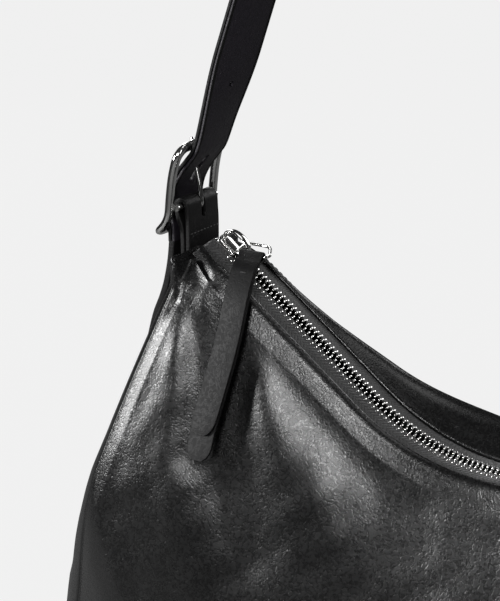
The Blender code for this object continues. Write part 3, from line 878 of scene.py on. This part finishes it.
    def build_base(self, wardrobe: Wardrobe, rim: np.ndarray) -> None:
        """Base panel: rings of the rim drawn towards the middle, below and above."""
        flat = rim[:, :2]
        points = np.stack([np.column_stack([flat * max(scale, 0.004), np.full(len(flat), z)])
                           for scale, z in self.base_profile])
        base = make_object("base_leather", points, capped_faces(*points.shape[:2]))
        mend_normals(base)
        wardrobe.dress(base, "black_body_leather", "bag", ("base_panel",))

    def stitch_edge(self, wardrobe: Wardrobe, side: Side) -> None:
        """Row of stitches along the turned edge beside the zip."""
        along = np.arange(16.0, self.zip_length() - 16.0, self.stitch_pitch)
        point, axes = self.zip_axes(along)
        swell = self.swell(point[:, :1], side)
        front = side is Side.FRONT
        sizes = (1.3, 0.5, 0.42) if front else (1.05, 0.26, 0.34)
        out = (14.9 if front else 16.3) + 1.2 * swell
        up = ((3.3 if front else 2.72) + 3.75 * swell) / axes[:, 2, 2:]
        fall = self.droop * 16.1 + self.corner_dip(point[:, :1])
        lift = np.concatenate([np.zeros_like(out), side.value * out, up - fall], axis=1)
        row = scatter(f"{side.name.lower()}_edge_stitches", point + lift, axes, sizes, 2.4, 7, 8)
        wardrobe.dress(row, "black_body_leather" if front else "stitch_thread", "bag")


# ---- zip -------------------------------------------------------------------------------------
@dataclass
class Zip:
    """Tapes, single teeth, stops, slider and crown."""

    bag: BagBody
    pitch: float = 2.5
    tape_inner: float = 3.3
    tape_outer: float = 15.2
    tape_wall: float = 0.7
    head_out: float = 2.1
    head_size: tuple = (0.70, 1.25, 1.65)
    clamp_out: float = 4.7
    clamp_size: tuple = (0.66, 1.55, 0.64)
    slider_at: float = 9.0
    plate_half: float = 5.6
    plate_level: float = 2.35
    flange_half: float = 5.3
    flange_level: float = 1.5

    def build(self, wardrobe: Wardrobe) -> None:
        """Make and dress every piece of the zip."""
        for side in Side:
            self.tape(wardrobe, side)
            self.teeth(wardrobe, side)
        self.stops(wardrobe)
        self.slider(wardrobe)

    def tape(self, wardrobe: Wardrobe, side: Side) -> None:
        """Woven tape: it passes flat under the tooth clamps and falls away beyond them."""
        along = np.linspace(2.0, self.bag.zip_length() - 2.0, 260)
        out = np.concatenate([np.linspace(self.tape_inner, 5.2, 9), np.linspace(5.8, self.tape_outer, 12)])
        point, normal, _ = self.bag.zip_line(along)
        up = 0.10 + 0.2 * ease((out - 6.2) / 2)
        past = np.maximum(out - self.tape_inner, 0)[None, :]
        fall = (self.bag.droop * past
                + self.bag.corner_dip(point[:, :1]) * past / (self.tape_outer - self.tape_inner))
        wave = 0.10 * np.sin(along[:, None] / 4.1 + out[None, :] / 3) * ease((out - 5) / 4)[None, :]
        points = point[:, None] + normal[:, None] * (up[None, :] - fall + wave)[..., None]
        points[..., 1] += side.value * out[None, :]
        uv = np.stack(np.broadcast_arrays(out[None, :], along[:, None]), -1) * MM
        label = side.name.lower()
        tape = sheet_object(f"{label}_tape", points, self.tape_wall, flip=side is Side.BACK, uv=uv)
        wardrobe.dress(tape, "zip_tape_woven", "bag", (f"{label}_zip_tape",))

    def teeth(self, wardrobe: Wardrobe, side: Side) -> None:
        """Single metal teeth: a rounded head near the middle and a clamp over the tape's cord."""
        shift = self.pitch / 2 if side is Side.BACK else 0.0
        along = np.arange(self.slider_at + 4.5 + shift, self.bag.zip_length() - 8.5, self.pitch)
        point, axes = self.bag.zip_axes(along)
        label = side.name.lower()
        for part, out, sizes, power, nodes in (
                ("teeth", self.head_out, self.head_size, 2.5, (f"{label}_zip_teeth",)),
                ("tooth_clamps", self.clamp_out, self.clamp_size, 2.8, ())):
            row = scatter(f"{label}_{part}", point + AXIS_Y * side.value * out, axes, sizes, power, 7, 12)
            wardrobe.dress(row, "silver_polished", "bag", nodes)

    def stops(self, wardrobe: Wardrobe) -> None:
        """Two small stops above the slider and one box at the far end."""
        end = self.bag.zip_length()
        for name, along, y, sizes in (("front_top_stop", 3.4, -2.1, (1.3, 1.0, 1.3)),
                                      ("back_top_stop", 3.4, 2.1, (1.3, 1.0, 1.3)),
                                      ("zip_bottom_stop", end - 6.5, 0.0, (1.3, 3.0, 1.3))):
            point, axes = self.bag.zip_axes(np.array([along]))
            stop = scatter(f"{name}_piece", point + [[0, y, 0]], axes, sizes, 5.0, 13, 24)
            wardrobe.dress(stop, "silver_polished", "bag", (name,))

    def slider(self, wardrobe: Wardrobe) -> None:
        """Two shield plates joined by flanges, narrowing along the zip, under an arching crown."""
        point, axes = self.bag.zip_axes(np.array([self.slider_at]))
        middle, (along, across, out) = point[0], axes[0]
        a = np.linspace(-1, 1, 25)
        narrowing = ease((a + 1) / 2)
        end_round = np.sqrt(np.clip(1 - np.abs(a) ** 6, 0.0004, 1))
        half_width = (4.55 - 0.55 * narrowing) * end_round
        for name, level, thick, nodes in (("slider_plate", self.plate_level, 0.66, ("slider_body",)),
                                          ("slider_floor_plate", -self.plate_level, 0.6, ())):
            centre = middle + along * (a * self.plate_half)[:, None] + out * level
            ring = np.stack([ellipse_section(w, thick * (0.55 + 0.45 * e), 28)
                             for w, e in zip(half_width, end_round)])
            plate = sweep(name, centre, across, out, ring)
            wardrobe.dress(plate, "silver_polished", "slider", nodes)
        size = np.stack([rounded_section(0.42 * e + 0.02, 0.8 * e + 0.03, 0.3 * e + 0.01, 4)
                         for e in end_round])
        for side in Side:
            for word, level in (("up", self.flange_level), ("down", -self.flange_level)):
                y = side.value * (4.05 - 0.45 * narrowing)
                centre = (middle + along * (a * self.flange_half)[:, None] + across * y[:, None]
                          + out * level)
                flange = sweep(f"slider_flange_{side.name.lower()}_{word}", centre, across, out, size)
                wardrobe.dress(flange, "silver_polished", "slider")
        self.crown(wardrobe, middle, along, out)

    def crown(self, wardrobe: Wardrobe, middle: np.ndarray, along: np.ndarray, out: np.ndarray) -> None:
        """Arching band over the slider, widest half way.

        Args:
            wardrobe: the finishes.
            middle: middle of the slider.
            along: direction along the zip there.
            out: direction out of the bag there.
        """
        arch = smooth_line([(-4.4, 2.9), (-4.9, 5.6), (-2.4, 8.4), (2.0, 9.3), (6.2, 8.7), (8.3, 6.6),
                            (7.6, 4.6), (4.8, 2.9)], 0.5)
        centre = middle + along * arch[:, :1] + out * arch[:, 1:]
        step = unit(np.gradient(centre, axis=0))
        place = np.linspace(-1, 1, len(centre))
        width = 1.55 + 0.55 * (1 - place ** 2)
        ring = np.stack([ellipse_section(w, 0.76, 20) for w in width])
        crown = sweep("slider_crown_band", centre, AXIS_Y, unit(np.cross(step, AXIS_Y)), ring)
        wardrobe.dress(crown, "silver_polished", "slider", ("slider_crown",))


# ---- pull ------------------------------------------------------------------------------------
@dataclass
class Pull:
    """Wire ring and the long folded leather pull that hangs from it."""

    centre: tuple = (-128.5, -1.5, 272 - 3.74)
    half_x: float = 8.3
    half_y: float = 4.9
    squeeze: float = 3.6
    wire: float = 0.75
    dip: float = 0.24
    width: float = 12.0
    shift: float = 2.1
    front: float = 87.0
    layer_gap: float = 0.8
    fold_radius: float = 1.75
    bow: float = 3.6
    bow_length: float = 84.0
    # Hanging line from the ring's front: (y, z) pairs.
    hang: tuple = ((0.0, 0.0), (-7.2, -2.6), (-11.4, -6.6), (-17.9, -17.0), (-24.2, -33.0),
                   (-33.0, -55.0), (-40.6, -75.0), (-44.0, -84.0))

    @property
    def level(self) -> float:
        """Share of the ring's depth that lies level, where dip is the share that falls."""
        return math.sqrt(1 - self.dip ** 2)

    def build(self, wardrobe: Wardrobe) -> None:
        """Make and dress the ring, squeezed at its back right, and the pull."""
        tight, easy = (rounded_section(self.half_x, self.half_y, radius, 9) for radius in (1.7, 2.6))
        loop = np.where(tight[:, :1] > 0, easy, tight)
        squeeze = np.where(loop[:, 0] > 0, self.squeeze, 0)
        loop[:, 0] = loop[:, 0] - squeeze * ease((loop[:, 1] + 2.5) / (self.half_y + 2.5))
        loop = np.vstack([np.linspace(p, q, 4, endpoint=False)
                          for p, q in zip(loop, np.roll(loop, -1, axis=0))])
        place = np.column_stack([loop[:, 0], self.level * loop[:, 1], self.dip * loop[:, 1]])
        centre = np.asarray(self.centre) + place
        keep = np.linalg.norm(centre - np.roll(centre, 1, axis=0), axis=1) > 0.01
        centre = centre[keep]
        step = unit(np.roll(centre, -1, axis=0) - np.roll(centre, 1, axis=0))
        out = np.array([0.0, -self.dip, self.level])
        ring = sweep("ring_wire", centre, unit(np.cross(step, out)), out,
                     ellipse_section(self.wire, self.wire, 16), closed=True)
        wardrobe.dress(ring, "silver_polished", "ring", ("pull_ring",))
        self.leather_pull(wardrobe)

    def leather_pull(self, wardrobe: Wardrobe) -> None:
        """One strip folded over the ring: up the back, half a turn, and down the front.

        The strip's line is the hanging line pushed out or in by half the two layers.
        """
        x, y, z = np.asarray(self.centre) - [0, self.half_y * self.level, self.half_y * self.dip]
        line = smooth_line(list(self.hang), 1.2)
        step = unit(np.gradient(line, axis=0))
        out = np.column_stack([step[:, 1], -step[:, 0]])
        length = lengths(line)
        front = length < self.front
        lower, upper = (line - out * self.layer_gap)[3:], (line + out * self.layer_gap)[front][3:]
        swing = np.radians(np.linspace(0, 180, 15))[:, None]
        bend = -out[0] * self.fold_radius * np.cos(swing) - step[0] * self.fold_radius * np.sin(swing)
        path = np.vstack([lower[::-1], bend, upper])
        hang = np.concatenate([length[:2:-1], np.zeros(len(bend)), length[front][3:]])
        drift = (self.shift - 1.6 - 0.012 * hang
                 + self.bow * np.sin(np.clip(hang / self.bow_length, 0, 1) ** 0.8 * math.pi))
        centre = np.column_stack([x + drift, y + path[:, 0], z + path[:, 1]])
        along = unit(np.gradient(centre, axis=0))
        normal = unit(np.cross(along, AXIS_X))
        far = np.linalg.norm(centre - centre[len(lower) + 7], axis=1)
        half = self.width / 2 * (1 + 0.08 * ease((far - 8) / 80))
        tip = np.sqrt(np.clip(1 - (np.arange(9) / 8.6) ** 2.6, 0.12, 1))
        taper = np.ones(len(centre))
        taper[:9], taper[-9:] = tip[::-1], tip
        section = np.stack([rounded_section(h * t, 0.62, 0.42, 5) for h, t in zip(half, taper)])
        pull = sweep("leather_pull", centre, AXIS_X, normal, section, sharp=50)
        wardrobe.dress(pull, "black_strap_leather", "pull", ("zip_pull_strip",))
        mark = len(lower) + len(bend) + 7
        axes = np.stack([AXIS_X, along[mark], normal[mark]])
        place = centre[mark] - normal[mark] * math.copysign(0.60, normal[mark, 1]) + AXIS_X * 0.8
        row = scatter("pull_top_stitch", place[None, :], axes, (1.7, 0.30, 0.28), 2.2, 7, 10)
        wardrobe.dress(row, "stitch_thread", "pull")


# ---- strap -----------------------------------------------------------------------------------
@dataclass
class Strap:
    """Two-layer strap, its tail, the western buckle and both tabs.

    Lines are (x, height) pairs in the middle plane, heights being above the bag's corners, at base.
    """

    base: float = 272.0
    lean: float = math.radians(18.5)
    arch: float = 100.0
    twist: float = math.radians(16.0)
    half_width: float = 12.5
    foot: tuple = (154.4, 41.5)
    bar: tuple = (-162.4, 14.0)
    bar_radius: float = 1.6
    prong_radius: float = 1.1
    hole_radius: float = 1.35
    tail: tuple = ((-167.4, -2.6), (-168.4, -12.0), (-170.4, -22.0), (-173.0, -30.0), (-176.7, -39.0),
                   (-180.9, -54.0), (-186.0, -70.0), (-191.6, -85.0))
    buckle_profile: tuple = ((-172.0, 2.0), (-168.6, 4.8), (-165.5, 10.0), (-164.6, 18.0), (-163.5, 27.0),
                             (-161.7, 35.0), (-159.1, 42.0))
    outer_ear: tuple = ((161.65, -15), (161.65, 1), (162.5, 5), (163.22, 10), (163.22, 22))
    inner_ear: tuple = ((158.85, -15), (158.85, 1), (158.2, 5), (157.48, 10), (157.48, 22))

    def line(self) -> np.ndarray:
        """Middle line of the strap from the buckle over the arch to the right tab."""
        foot_x, foot_z = self.foot
        top_x = self.arch * math.cos(self.lean)
        top_z = foot_z + (foot_x - top_x) / math.tan(self.lean)
        centre_z = top_z - self.arch * math.sin(self.lean)
        share = np.linspace(0, 1, 12)[:, None]
        leg = np.array([-foot_x, foot_z]) + (np.array([-top_x, top_z]) - [-foot_x, foot_z]) * share
        angle = np.linspace(math.pi - self.lean, self.lean, 25)[1:-1]
        arch = np.column_stack([self.arch * np.cos(angle), centre_z + self.arch * np.sin(angle)])
        left = [(-167.4, -3.0), (-167.7, 4.0), (-168.6, 14.0), (-167.2, 22.0), (-163.2, 29.5), (-158.4, 35.5)]
        right = [(156.2, 38.5), (158.9, 31.0), (160.35, 23.0), (160.35, 10.0)]
        points = left + leg.tolist() + arch.tolist() + (leg[::-1] * [-1, 1]).tolist() + right
        return smooth_line(points, 2.0)

    def upright(self, line: np.ndarray) -> tuple:
        """Points of a line in the middle plane, and its outward directions: its steps turned a quarter."""
        step = unit(np.gradient(line, axis=0))
        level = np.zeros(len(line))
        return (np.column_stack([line[:, 0], level, self.base + line[:, 1]]),
                np.column_stack([-step[:, 1], level, step[:, 0]]))

    def frame(self, line: np.ndarray, twist: bool = True) -> tuple:
        """Path, across and outward directions of a band that leans with the strap.

        Args:
            line: the band's line.
            twist: whether it turns about its line as the strap does above the buckle.

        Returns:
            Points, directions across and directions outwards.
        """
        centre, outward = self.upright(line)
        lean = (self.twist * ease((line[:, 1] - 42) / 45))[:, None] if twist else np.zeros((len(line), 1))
        across = np.cos(lean) * AXIS_Y - np.sin(lean) * outward
        facing = np.cos(lean) * outward + np.sin(lean) * AXIS_Y
        return centre, across, facing

    def build(self, wardrobe: Wardrobe) -> None:
        """Make and dress the strap, tail, buckle and tabs."""
        line = self.line()
        centre, across, facing = self.frame(line)
        lip = rounded_section(self.half_width - 0.15, 0.72, 0.5, 5)
        outer = sweep("strap_outer_layer", centre + facing * 1.02, across, facing,
                      rounded_section(self.half_width, 0.86, 0.6, 6), sharp=60)
        inner = sweep("strap_inner_layer", centre - facing * 0.88, across, facing, lip, sharp=60)
        for piece, name in ((outer, "strap_outer"), (inner, "strap_lining")):
            cut(piece, [self.slot_cutter(22.5, 36.5), self.hole_cutter(71.0)])
            finish = "black_strap_leather" if piece is outer else "strap_inner_leather"
            wardrobe.dress(piece, finish, "strap", (name,))
        for side in Side:
            rim = centre - facing * 1.45 + across * side.value * (self.half_width - 0.95)
            bead = sweep(f"strap_edge_{side.name.lower()}", rim[6:-4], across[6:-4], facing[6:-4],
                         ellipse_section(0.85, 0.34, 12))
            wardrobe.dress(bead, "black_strap_leather", "strap")
        centre, across, facing = self.frame(smooth_line(list(self.tail), 1.5), twist=False)
        place = np.arange(len(centre))[::-1]
        tip = np.sqrt(np.clip(1 - (np.maximum(8.7 - place, 0) / 9.2) ** 2.2, 0.05, 1))
        width = np.where(place < 9, tip, 1.0)
        section = np.stack([rounded_section(self.half_width * w, 1.65, 0.7, 5) for w in width])
        tail = sweep("strap_tail_end", centre, across, facing, section, sharp=60)
        wardrobe.dress(tail, "black_strap_leather", "strap", ("strap_tail",))
        self.buckle(wardrobe)
        self.tabs(wardrobe)

    def slot_cutter(self, low: float, high: float) -> bpy.types.Object:
        """Long rounded bar along X that opens the slot for the prong.

        Args:
            low: the slot's lower end, above the bag's corners.
            high: its upper end.

        Returns:
            The bar.
        """
        line = np.array([[x, 0.0, self.base + (low + high) / 2] for x in (-178.0, -150.0)])
        return sweep("slot_cutter", line, AXIS_Y, AXIS_Z, rounded_section(1.7, (high - low) / 2, 1.6, 6))

    def hole_cutter(self, up: float) -> bpy.types.Object:
        """Round bar through the strap, square to its leaning leg, at a height above the bag's corners."""
        foot_x, foot_z = self.foot
        x = -foot_x + (up - foot_z) * math.tan(self.lean)
        aim = np.array([math.cos(self.lean), 0.0, -math.sin(self.lean)])
        line = np.array([[x, 0.0, self.base + up]]) + aim * np.array([[-9.0], [9.0]])
        rise = np.array([math.sin(self.lean), 0.0, math.cos(self.lean)])
        section = ellipse_section(self.hole_radius, self.hole_radius, 24)
        return sweep("hole_cutter", line, AXIS_Y, rise, section)

    def buckle(self, wardrobe: Wardrobe) -> None:
        """Make and dress the buckle's frame, heel bar and prong."""
        self.buckle_frame(wardrobe)
        bar_x, bar_up = self.bar
        y = np.linspace(-15.6, 15.6, 9)
        centre = np.column_stack([np.full(9, bar_x), y, np.full(9, self.base + bar_up)])
        bar = sweep("buckle_heel_bar", centre, AXIS_X, AXIS_Z,
                    ellipse_section(self.bar_radius, self.bar_radius, 24))
        wardrobe.dress(bar, "silver_polished", "strap", ("buckle_bar",))

        angle = np.radians(np.linspace(130, 375, 30))
        reach = self.bar_radius + 0.35 + self.prong_radius
        hook = np.column_stack([bar_x + reach * np.cos(angle), bar_up + reach * np.sin(angle)])
        shaft = smooth_line([tuple(hook[-1]), (-159.7, 17.5), (-160.6, 23.0), (-162.3, 30.0), (-163.5, 36.0),
                             (-163.7, 40.0), (-164.4, 43.5)], 1.0)[1:]
        centre, _ = self.upright(np.vstack([hook, shaft]))
        step = unit(np.gradient(centre, axis=0))
        near_tip = (np.arange(len(centre)) - len(centre) + 4).clip(0) / 4.2
        size = self.prong_radius * np.sqrt(np.clip(1 - near_tip ** 2, 0.08, 1))
        section = np.stack([ellipse_section(s * 1.15, s, 18) for s in size])
        prong = sweep("prong_wire", centre, AXIS_Y, unit(np.cross(step, AXIS_Y)), section)
        wardrobe.dress(prong, "silver_polished", "prong", ("buckle_prong",))

    def buckle_frame(self, wardrobe: Wardrobe) -> None:
        """Frame: a rounded loop laid on a curved side profile, eased round and thick at its foot."""
        profile = smooth_line(list(self.buckle_profile), 0.7)
        length = lengths(profile)
        half = length[-1] / 2
        loop = rounded_section(17.5, half, 5.5, 12)
        loop = np.vstack([np.linspace(p, q, 1 + int(np.hypot(*(q - p)) / 1.6), endpoint=False)
                          for p, q in zip(loop, np.roll(loop, -1, axis=0))])
        slope = unit(np.gradient(profile, axis=0))
        x, z, slope_x, slope_z = (np.interp(loop[:, 1] + half, length, values)
                                  for values in (*profile.T, *slope.T))
        centre = np.column_stack([x, loop[:, 0], self.base + z])
        for _ in range(2):
            centre = (np.roll(centre, 1, axis=0) + 2 * centre + np.roll(centre, -1, axis=0)) / 4
        step = unit(np.roll(centre, -1, axis=0) - np.roll(centre, 1, axis=0))
        face = unit(np.column_stack([-slope_z, np.zeros(len(x)), slope_x]))
        side = unit(np.cross(step, face))
        foot = ease((7.0 - z) / 7.0)
        section = np.stack([ellipse_section(2.35 + 0.5 * f, 1.85 + 0.25 * f, 24) for f in foot])
        frame = sweep("buckle_frame_loop", centre, side, unit(np.cross(side, step)), section, closed=True)
        wardrobe.dress(frame, "silver_polished", "strap", ("buckle_frame",))

    def tab_stitches(self, wardrobe: Wardrobe, name: str, x: float, across: np.ndarray, heights: tuple,
                     half_length: float) -> bpy.types.Object:
        """Level rows of stitches on a tab.

        Args:
            wardrobe: the finishes.
            name: the piece's name.
            x: place of the tab's surface.
            across: the stitches' places in Y.
            heights: the rows' heights above the bag's corners.
            half_length: half a stitch.

        Returns:
            The stitches.
        """
        places = np.array([(x, y, self.base + z) for z in heights for y in across])
        axes = np.stack([AXIS_Y, AXIS_Z, AXIS_X])
        row = scatter(name, places, axes, (half_length, 0.24, 0.2), 2.2, 6, 8)
        return wardrobe.dress(row, "stitch_thread")

    def tabs(self, wardrobe: Wardrobe) -> None:
        """Left tab: leather looped round the heel bar. Right tab: two ears with the strap's end between."""
        bar_x, bar_up = self.bar
        angle = np.radians(np.linspace(195, -15, 26))
        loop = np.column_stack([bar_x + 2.95 * np.cos(angle), bar_up + 2.95 * np.sin(angle)])
        path = smooth_line([(-161.75, -15.0), (-161.75, -3.0), (-162.5, 4.0), (-164.3, 8.8)]
                           + loop[::3].tolist() + [(-159.2, 9.0), (-158.87, 3.0), (-158.87, -15.0)], 0.9)
        centre, normal = self.upright(path)
        tab = sweep("left_tab_loop", centre, AXIS_Y, normal, rounded_section(12.1, 1.12, 0.55, 6), sharp=60)
        cut(tab, [self.slot_cutter(7.6, 20.5)])
        wardrobe.dress(tab, "black_strap_leather", None, ("left_tab",))
        pieces = [tab, self.tab_stitches(wardrobe, "left_tab_stitches", -157.72,
                                         np.arange(-10.4, 10.5, 2.6), (1.5,), 0.95)]
        for name, points, nodes in (("right_tab_outer_ear", self.outer_ear, ("right_tab",)),
                                    ("right_tab_inner_ear", self.inner_ear, ())):
            centre, normal = self.upright(smooth_line(list(points), 1.2))
            ear = sweep(name, centre, AXIS_Y, normal, rounded_section(12.0, 0.84, 0.5, 6), sharp=60)
            pieces.append(wardrobe.dress(ear, "black_strap_leather", None, nodes))
        for name, x in (("right_tab_outer_stitches", 164.02), ("right_tab_inner_stitches", 156.68)):
            pieces.append(self.tab_stitches(wardrobe, name, x, np.arange(-9.8, 9.9, 2.45), (12.5, 20.0), 0.9))
        for piece in pieces:
            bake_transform(piece)


# ---- studio ----------------------------------------------------------------------------------
@dataclass
class Studio:
    """Pale floor and sky, soft lights and the camera."""

    azimuth: float = math.radians(33.0)
    elevation: float = math.radians(17.0)
    distance: float = 1300.0
    lens: float = 172.1
    corner: tuple = (-152.0, 0.0, 272.0)
    aim: tuple = (15.8, -30.1)
    pale: float = 0.905

    def build(self) -> None:
        """Set up the floor, sky, lights and camera."""
        self.floor()
        self.sky()
        self.light("key_softbox", (-0.62, -0.56, 0.42), (-0.13, -0.04, 0.20), 0.16, 0.26, 5.8)
        self.light("front_softbox", (0.06, -0.62, 0.54), (-0.12, -0.04, 0.22), 0.16, 0.16, 2.6)
        self.light("top_softbox", (0.25, 0.15, 1.65), (0.0, 0.0, 0.25), 0.8, 0.6, 3.0)
        self.light("back_strip", (-1.0, 0.9, 0.8), (-0.1, 0.0, 0.25), 0.3, 1.1, 4.0)
        self.light("back_softbox", (0.35, 1.5, 0.85), (0.0, 0.05, 0.18), 1.0, 0.7, 8.0)
        self.light("right_strip", (1.4, -0.6, 0.8), (0.0, 0.0, 0.2), 0.3, 0.9, 3.0)
        self.camera()

    def floor(self) -> None:
        """Wide pale floor, lit evenly for the camera and kept dim in reflections."""
        ring = np.array([(-1, -1, 0), (1, -1, 0), (1, 1, 0), (-1, 1, 0)]) * 9000.0
        made = make_object("floor", ring, [[0, 1, 2, 3]])
        finish = bpy.data.materials.new("pale_floor")
        finish.use_nodes = True
        tree = finish.node_tree
        desk = NodeDesk(tree)
        tree.nodes["Principled BSDF"].inputs["Base Color"].default_value = (0.2, 0.2, 0.2, 1)
        tree.nodes["Principled BSDF"].inputs["Roughness"].default_value = 0.9
        glow = tree.nodes.new("ShaderNodeEmission")
        glow.inputs["Color"].default_value = (self.pale, self.pale, self.pale, 1)
        path = tree.nodes.new("ShaderNodeLightPath")
        mix = tree.nodes.new("ShaderNodeMixShader")
        desk.join(desk.math("MULTIPLY", path.outputs["Is Camera Ray"], 0.96), mix.inputs["Fac"])
        desk.join(tree.nodes["Principled BSDF"].outputs[0], mix.inputs[1])
        desk.join(glow.outputs[0], mix.inputs[2])
        desk.join(mix.outputs[0], tree.nodes["Material Output"].inputs["Surface"])
        made.data.materials.append(finish)

    def sky(self) -> None:
        """Pale sky behind, dim grey in light and reflections."""
        world = bpy.data.worlds.new("studio_sky")
        bpy.context.scene.world = world
        world.use_nodes = True
        tree = world.node_tree
        desk = NodeDesk(tree)
        back = tree.nodes["Background"]
        back.inputs["Color"].default_value = (1, 1, 1, 1)
        path = tree.nodes.new("ShaderNodeLightPath")
        seen = desk.ramp(path.outputs["Is Camera Ray"], 0.0, 1.0, 0.035, self.pale)
        desk.join(seen, back.inputs["Strength"])

    def light(self, name: str, place: tuple, target: tuple, width: float, height: float,
              power: float) -> None:
        """One soft rectangular light.

        Args:
            name: the light's name.
            place: where it stands, in metres.
            target: the point that it is aimed at, in metres.
            width: its width in metres.
            height: its height in metres.
            power: its power in watts.
        """
        lamp = bpy.data.lights.new(name, "AREA")
        lamp.shape = "RECTANGLE"
        lamp.size = width
        lamp.size_y = height
        lamp.energy = power
        made = bpy.data.objects.new(name, lamp)
        bpy.context.scene.collection.objects.link(made)
        made.location = place
        made.rotation_euler = (Vector(target) - Vector(place)).to_track_quat("-Z", "Y").to_euler()

    def camera(self) -> None:
        """Long lens aimed beside the buckled corner: aim is how far right and up of it."""
        a, e = self.azimuth, self.elevation
        back = np.array([math.sin(a) * math.cos(e), -math.cos(a) * math.cos(e), math.sin(e)])
        right = np.array([math.cos(a), math.sin(a), 0.0])
        up = np.cross(back, right)
        centre = np.asarray(self.corner) + self.aim[0] * right + self.aim[1] * up
        data = bpy.data.cameras.new("camera")
        data.lens = self.lens
        data.clip_end = 100.0
        made = bpy.data.objects.new("camera", data)
        bpy.context.scene.collection.objects.link(made)
        turn = Matrix((Vector(right), Vector(up), Vector(back))).transposed().to_4x4()
        made.matrix_world = Matrix.Translation(Vector((centre + back * self.distance) * MM)) @ turn
        bpy.context.scene.camera = made
        bpy.context.scene.view_settings.view_transform = "Standard"


def dress_inner_nodes(wardrobe: Wardrobe, nodes: dict) -> None:
    """Give the hidden linings and the base board their finishes."""
    for name, made in nodes.items():
        if name.endswith("lining") and name != "strap_lining":
            finish = "lining_cloth_woven"
        elif name == "base_board":
            finish = "stiffener_board_matte"
        else:
            continue
        made.data.materials.clear()
        made.data.materials.append(wardrobe.made[finish][0])
        LOG.info("%s in %s", name, finish)


def main() -> None:
    """Build every sub-assembly in order."""
    logging.basicConfig(level=logging.INFO, format="%(name)s: %(message)s")
    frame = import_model()
    wardrobe = Wardrobe()
    bag = BagBody()
    bag.build(wardrobe)
    Zip(bag).build(wardrobe)
    Pull().build(wardrobe)
    Strap().build(wardrobe)
    dress_inner_nodes(wardrobe, frame["nodes"])
    Studio().build()
    bpy.context.view_layer.update()


if __name__ == "__main__":
    main()
